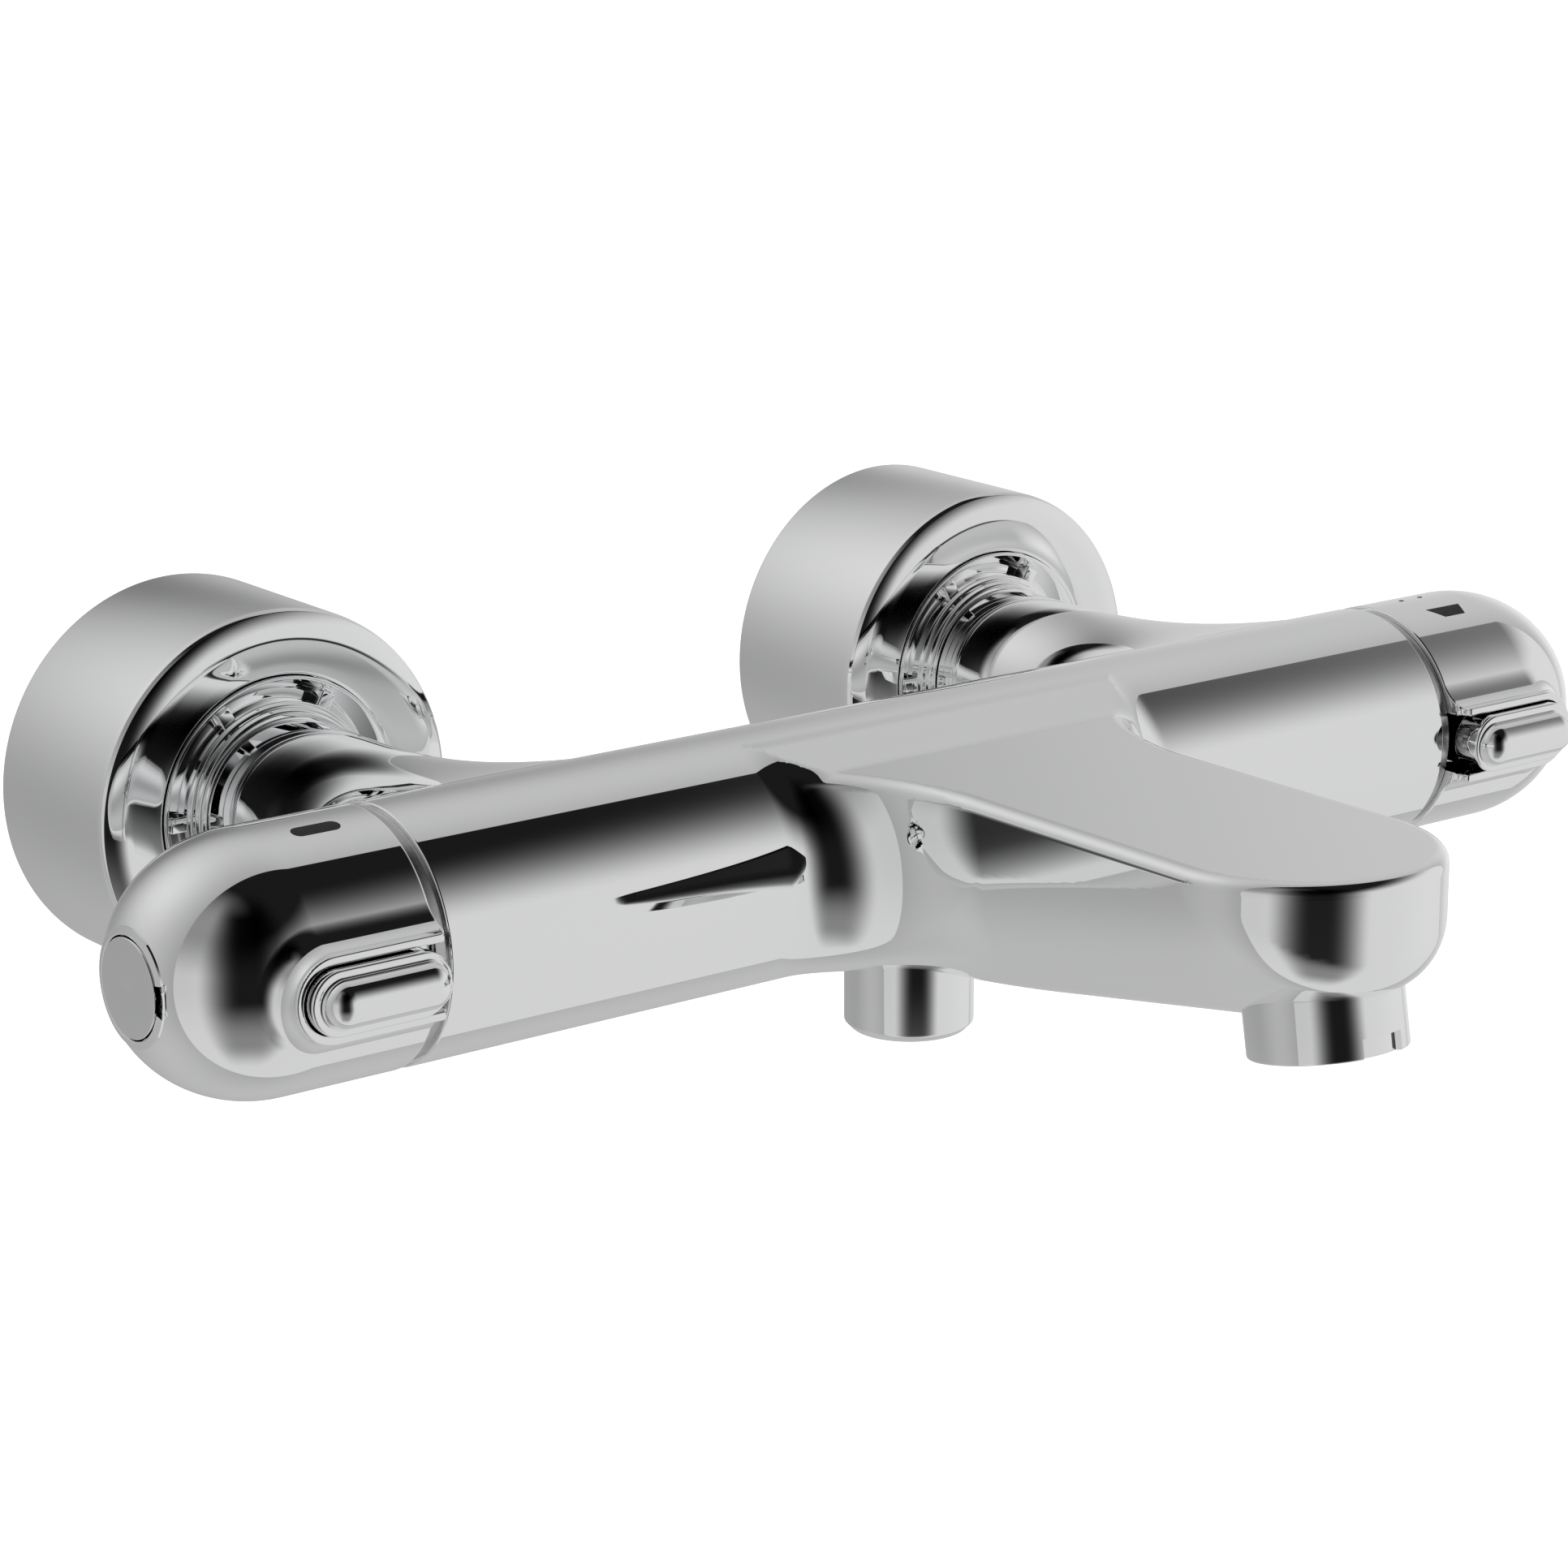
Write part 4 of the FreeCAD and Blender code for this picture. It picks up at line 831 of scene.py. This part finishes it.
def ring_path(centre, half_length, half_width, steps=14):
    """The outline of a capsule, or of a disc when both halves are equal."""
    path = []
    for sign in (1, -1):
        for k in range(steps + 1):
            turn = math.radians(-90 + 180 * k / steps)
            along = half_length - half_width + half_width * math.cos(turn)
            across = half_width * math.sin(turn)
            path.append((centre[0] + sign * along, centre[1] + sign * across))
    return path


def arc_from_top(angle):
    """Arc length on the tube from its top to an angle above the horizontal."""
    return math.radians(90 - angle) * TUBE_R


def build_marks():
    """The volume handle's index pill, and the temperature handle's pointer with two scale dots."""
    pill = ring_path((PILL_CENTRE, arc_from_top(PILL_ANGLE)), PILL_HALF, PILL_R)
    inlay("volume_mark_inlay", [pill], "volume_handle", ["volume_mark"], -1)
    across = arc_from_top(POINTER_ANGLE)
    back, front = across - POINTER_HALF_WIDTH, across + POINTER_HALF_WIDTH
    near, far = POINTER_CENTRE - POINTER_HALF, POINTER_CENTRE + POINTER_HALF
    pointer = closed_path([(near, back), (far, back), (far - POINTER_TAPER_FAR, front),
                           (near + POINTER_TAPER_NEAR, front)])
    back = arc_from_top(DOT_ANGLE)
    spots = [ring_path((along, back), DOT_R, DOT_R, 10) for along in DOTS]
    inlay("temperature_mark_inlay", [pointer] + spots, "temperature_handle",
          ["temperature_mark"], 1)


build_body()
for control, placing in (("temperature", right_end), ("volume", left_end)):
    build_handle(control + "_handle_shell", placing, control + "_handle", [control + "_handle"])
    build_button(control + "_button_cap", placing, control + "_button", [control + "_stop_button"])
build_inlet("left", -1)
build_inlet("right", 1)
build_outlet()
build_aerator()
build_end("temperature", 1, "temperature_handle", "right")
build_end("volume", -1, "volume_handle", "left")
build_marks()


# ---------------------------------------------------------------- studio

# Brightness of the two halves of the studio and their soft glows: azimuth from +Y towards +X,
# elevation, width (all in degrees) and amount.
WALL_TURN, WALL_SOFT = -6, 0.004
WALL_LEVEL, ROOM_LEVEL = 0.226, 0.66
WALL_GLOWS = [(-20, 28, 22, 0.134), (-35, 48, 25, 0.33), (24, 13, 14, -0.27), (60, 40, 28, 0.28),
              (-70, 10, 28, 0.16), (-60, -50, 30, 0.237), (20, -45, 28, 0.13),
              (75, -50, 25, 0.174), (68, -8, 16, 0.36), (46, 3, 16, 0.24), (-38, -15, 18, -0.08)]
ROOM_GLOWS = [(-100, 0, 22, -0.1), (100, 0, 30, 0.07)]
# The dark overhead: sine of elevation where it begins and is full, how much it leans to the right,
# its depth, and a lighter spot to the left.
ROOF_LOW, ROOF_HIGH, ROOF_TILT, ROOF_DEPTH = 0.06, 0.66, 0.33, 0.985
SPOT_AT, SPOT_LOW, SPOT_HIGH, SPOT_AMOUNT = (-110, 40), 0.75, 1.0, 0.4
# The dark column behind the camera: azimuth, half widths in degrees, and depth, less at its foot.
COLUMN_AT, COLUMN_OUTER, COLUMN_INNER, COLUMN_DEPTH = -155, 41.0, 4.0, 0.985
COLUMN_POLE_LOW, COLUMN_POLE_HIGH = 0.15, 0.6
FOOT_LOW, FOOT_HIGH, FOOT_SHARE, FOOT_LEVEL = -0.8, -0.25, 0.35, 0.65


def studio_world():
    """A soft studio: a light wall behind the mixer and a room with a dark overhead and column."""
    world = bpy.data.worlds.new("studio")
    bpy.context.scene.world = world
    world.use_nodes = True
    nodes, links = world.node_tree.nodes, world.node_tree.links
    nodes.clear()

    def math_node(kind, a, b=None, c=None, clamp=False):
        node = nodes.new("ShaderNodeMath")
        node.operation = kind
        node.use_clamp = clamp
        for socket, value in zip(node.inputs, (a, b, c)):
            if value is None:
                continue
            if isinstance(value, (int, float)):
                socket.default_value = value
            else:
                links.new(value, socket)
        return node.outputs[0]

    def dot(direction):
        node = nodes.new("ShaderNodeVectorMath")
        node.operation = "DOT_PRODUCT"
        links.new(ray, node.inputs[0])
        node.inputs[1].default_value = direction
        return node.outputs["Value"]

    def step(value, low, high):
        node = nodes.new("ShaderNodeMapRange")
        node.interpolation_type = "SMOOTHSTEP"
        links.new(value, node.inputs["Value"])
        node.inputs["From Min"].default_value = low
        node.inputs["From Max"].default_value = high
        return node.outputs["Result"]

    def mixed(factor, a, b):
        return math_node("ADD", math_node("MULTIPLY", math_node("SUBTRACT", 1.0, factor), a),
                         math_node("MULTIPLY", factor, b))

    coordinates = nodes.new("ShaderNodeTexCoord")
    ray = coordinates.outputs["Generated"]
    parts = nodes.new("ShaderNodeSeparateXYZ")
    links.new(ray, parts.inputs[0])
    height = parts.outputs["Z"]

    def towards(azimuth, elevation):
        a, e = math.radians(azimuth), math.radians(elevation)
        return (math.sin(a) * math.cos(e), math.cos(a) * math.cos(e), math.sin(e))

    def lobe(azimuth, elevation, width, amount):
        away = math_node("SUBTRACT", dot(towards(azimuth, elevation)), 1.0)
        fall = math_node("MULTIPLY", away, 1 / math.radians(width) ** 2)
        return math_node("MULTIPLY", math_node("EXPONENT", fall), amount)

    def glows(level, rows):
        total = level
        for row in rows:
            total = math_node("ADD", total, lobe(*row))
        return total

    def less(start, value, share):
        return math_node("SUBTRACT", start, math_node("MULTIPLY", value, share))

    behind = step(dot(towards(WALL_TURN, 0)), -WALL_SOFT, WALL_SOFT)
    wall_side = math_node("MAXIMUM", glows(WALL_LEVEL, WALL_GLOWS), 0.0)

    right = math_node("MAXIMUM", dot(towards(90, 0)), 0.0)
    leaning = math_node("SUBTRACT", height, math_node("MULTIPLY", right, ROOF_TILT))
    spot = step(dot(towards(*SPOT_AT)), SPOT_LOW, SPOT_HIGH)
    overhead = math_node("MULTIPLY", step(leaning, ROOF_LOW, ROOF_HIGH),
                         less(ROOF_DEPTH, spot, SPOT_AMOUNT))

    square = math_node("SUBTRACT", 1.0, math_node("MULTIPLY", height, height))
    flat = math_node("SQRT", math_node("MAXIMUM", square, 0.0001))
    facing = math_node("DIVIDE", dot(towards(COLUMN_AT, 0)), flat)
    column = step(facing, math.cos(math.radians(COLUMN_OUTER)),
                  math.cos(math.radians(COLUMN_INNER)))
    column = math_node("MULTIPLY", column, step(flat, COLUMN_POLE_LOW, COLUMN_POLE_HIGH))
    foot = math_node("MULTIPLY_ADD", step(height, FOOT_LOW, FOOT_HIGH), FOOT_SHARE, FOOT_LEVEL)
    column = math_node("MULTIPLY", column, foot)

    room = mixed(overhead, glows(ROOM_LEVEL, ROOM_GLOWS), 0.0)
    room = math_node("MULTIPLY", room, less(1.0, column, COLUMN_DEPTH))
    light = mixed(behind, math_node("MAXIMUM", room, 0.0), wall_side)

    path = nodes.new("ShaderNodeLightPath")
    shown = mixed(path.outputs["Is Camera Ray"], light, 1.0)
    background = nodes.new("ShaderNodeBackground")
    links.new(shown, background.inputs["Color"])
    output = nodes.new("ShaderNodeOutputWorld")
    links.new(background.outputs[0], output.inputs["Surface"])


FLOOR_HEIGHT, FLOOR_SIZE, LAMP_ENERGY, LAMP_ANGLE = -0.7, 20, 4.0, math.radians(60)


def floor_and_lamp():
    """A pale floor and a broad lamp that whitens it."""
    work = bmesh.new()
    bmesh.ops.create_grid(work, x_segments=2, y_segments=2, size=FLOOR_SIZE)
    mesh = bpy.data.meshes.new("pale_floor")
    work.to_mesh(mesh)
    work.free()
    floor = bpy.data.objects.new("pale_floor", mesh)
    floor.location = (0, 0, FLOOR_HEIGHT)
    bpy.context.scene.collection.objects.link(floor)
    paint = made("floor_paint", 0, 0.8, 0.9, (0.86, 0.86, 0.86), (0.88, 0.88, 0.88), 0.5)
    floor.data.materials.append(paint)
    floor.visible_glossy = False
    lamp = bpy.data.lights.new("ceiling_lamp", "SUN")
    lamp.energy = LAMP_ENERGY
    lamp.angle = LAMP_ANGLE
    lamp.use_shadow = False
    hung = bpy.data.objects.new("ceiling_lamp", lamp)
    hung.visible_glossy = False
    bpy.context.scene.collection.objects.link(hung)


# The camera, solved from the photograph's perspective. Lengths are in metres, the lens in mm.
EYE, AHEAD, UP = (-0.4342, -0.6306, 0.1930), (0.5946, 0.7586, -0.2662), (0.164, 0.2095, 0.964)
LENS, SENSOR, SHIFT_X, SHIFT_Y, CLIP_START, CLIP_END = 102.35, 36, -0.0195, 0.0074, 0.05, 60


def camera():
    """The photograph's view."""
    data = bpy.data.cameras.new("view")
    data.lens, data.sensor_width = LENS, SENSOR
    data.shift_x, data.shift_y = SHIFT_X, SHIFT_Y
    data.clip_start, data.clip_end = CLIP_START, CLIP_END
    obj = bpy.data.objects.new("view", data)
    ahead = Vector(AHEAD).normalized()
    up = Vector(UP)
    right = ahead.cross(up).normalized()
    up = right.cross(ahead).normalized()
    turn = Matrix((right, up, -ahead)).transposed().to_4x4()
    obj.matrix_world = Matrix.Translation(EYE) @ turn
    bpy.context.scene.collection.objects.link(obj)
    bpy.context.scene.camera = obj


studio_world()
floor_and_lamp()
camera()
bpy.context.scene.view_settings.view_transform = "Standard"
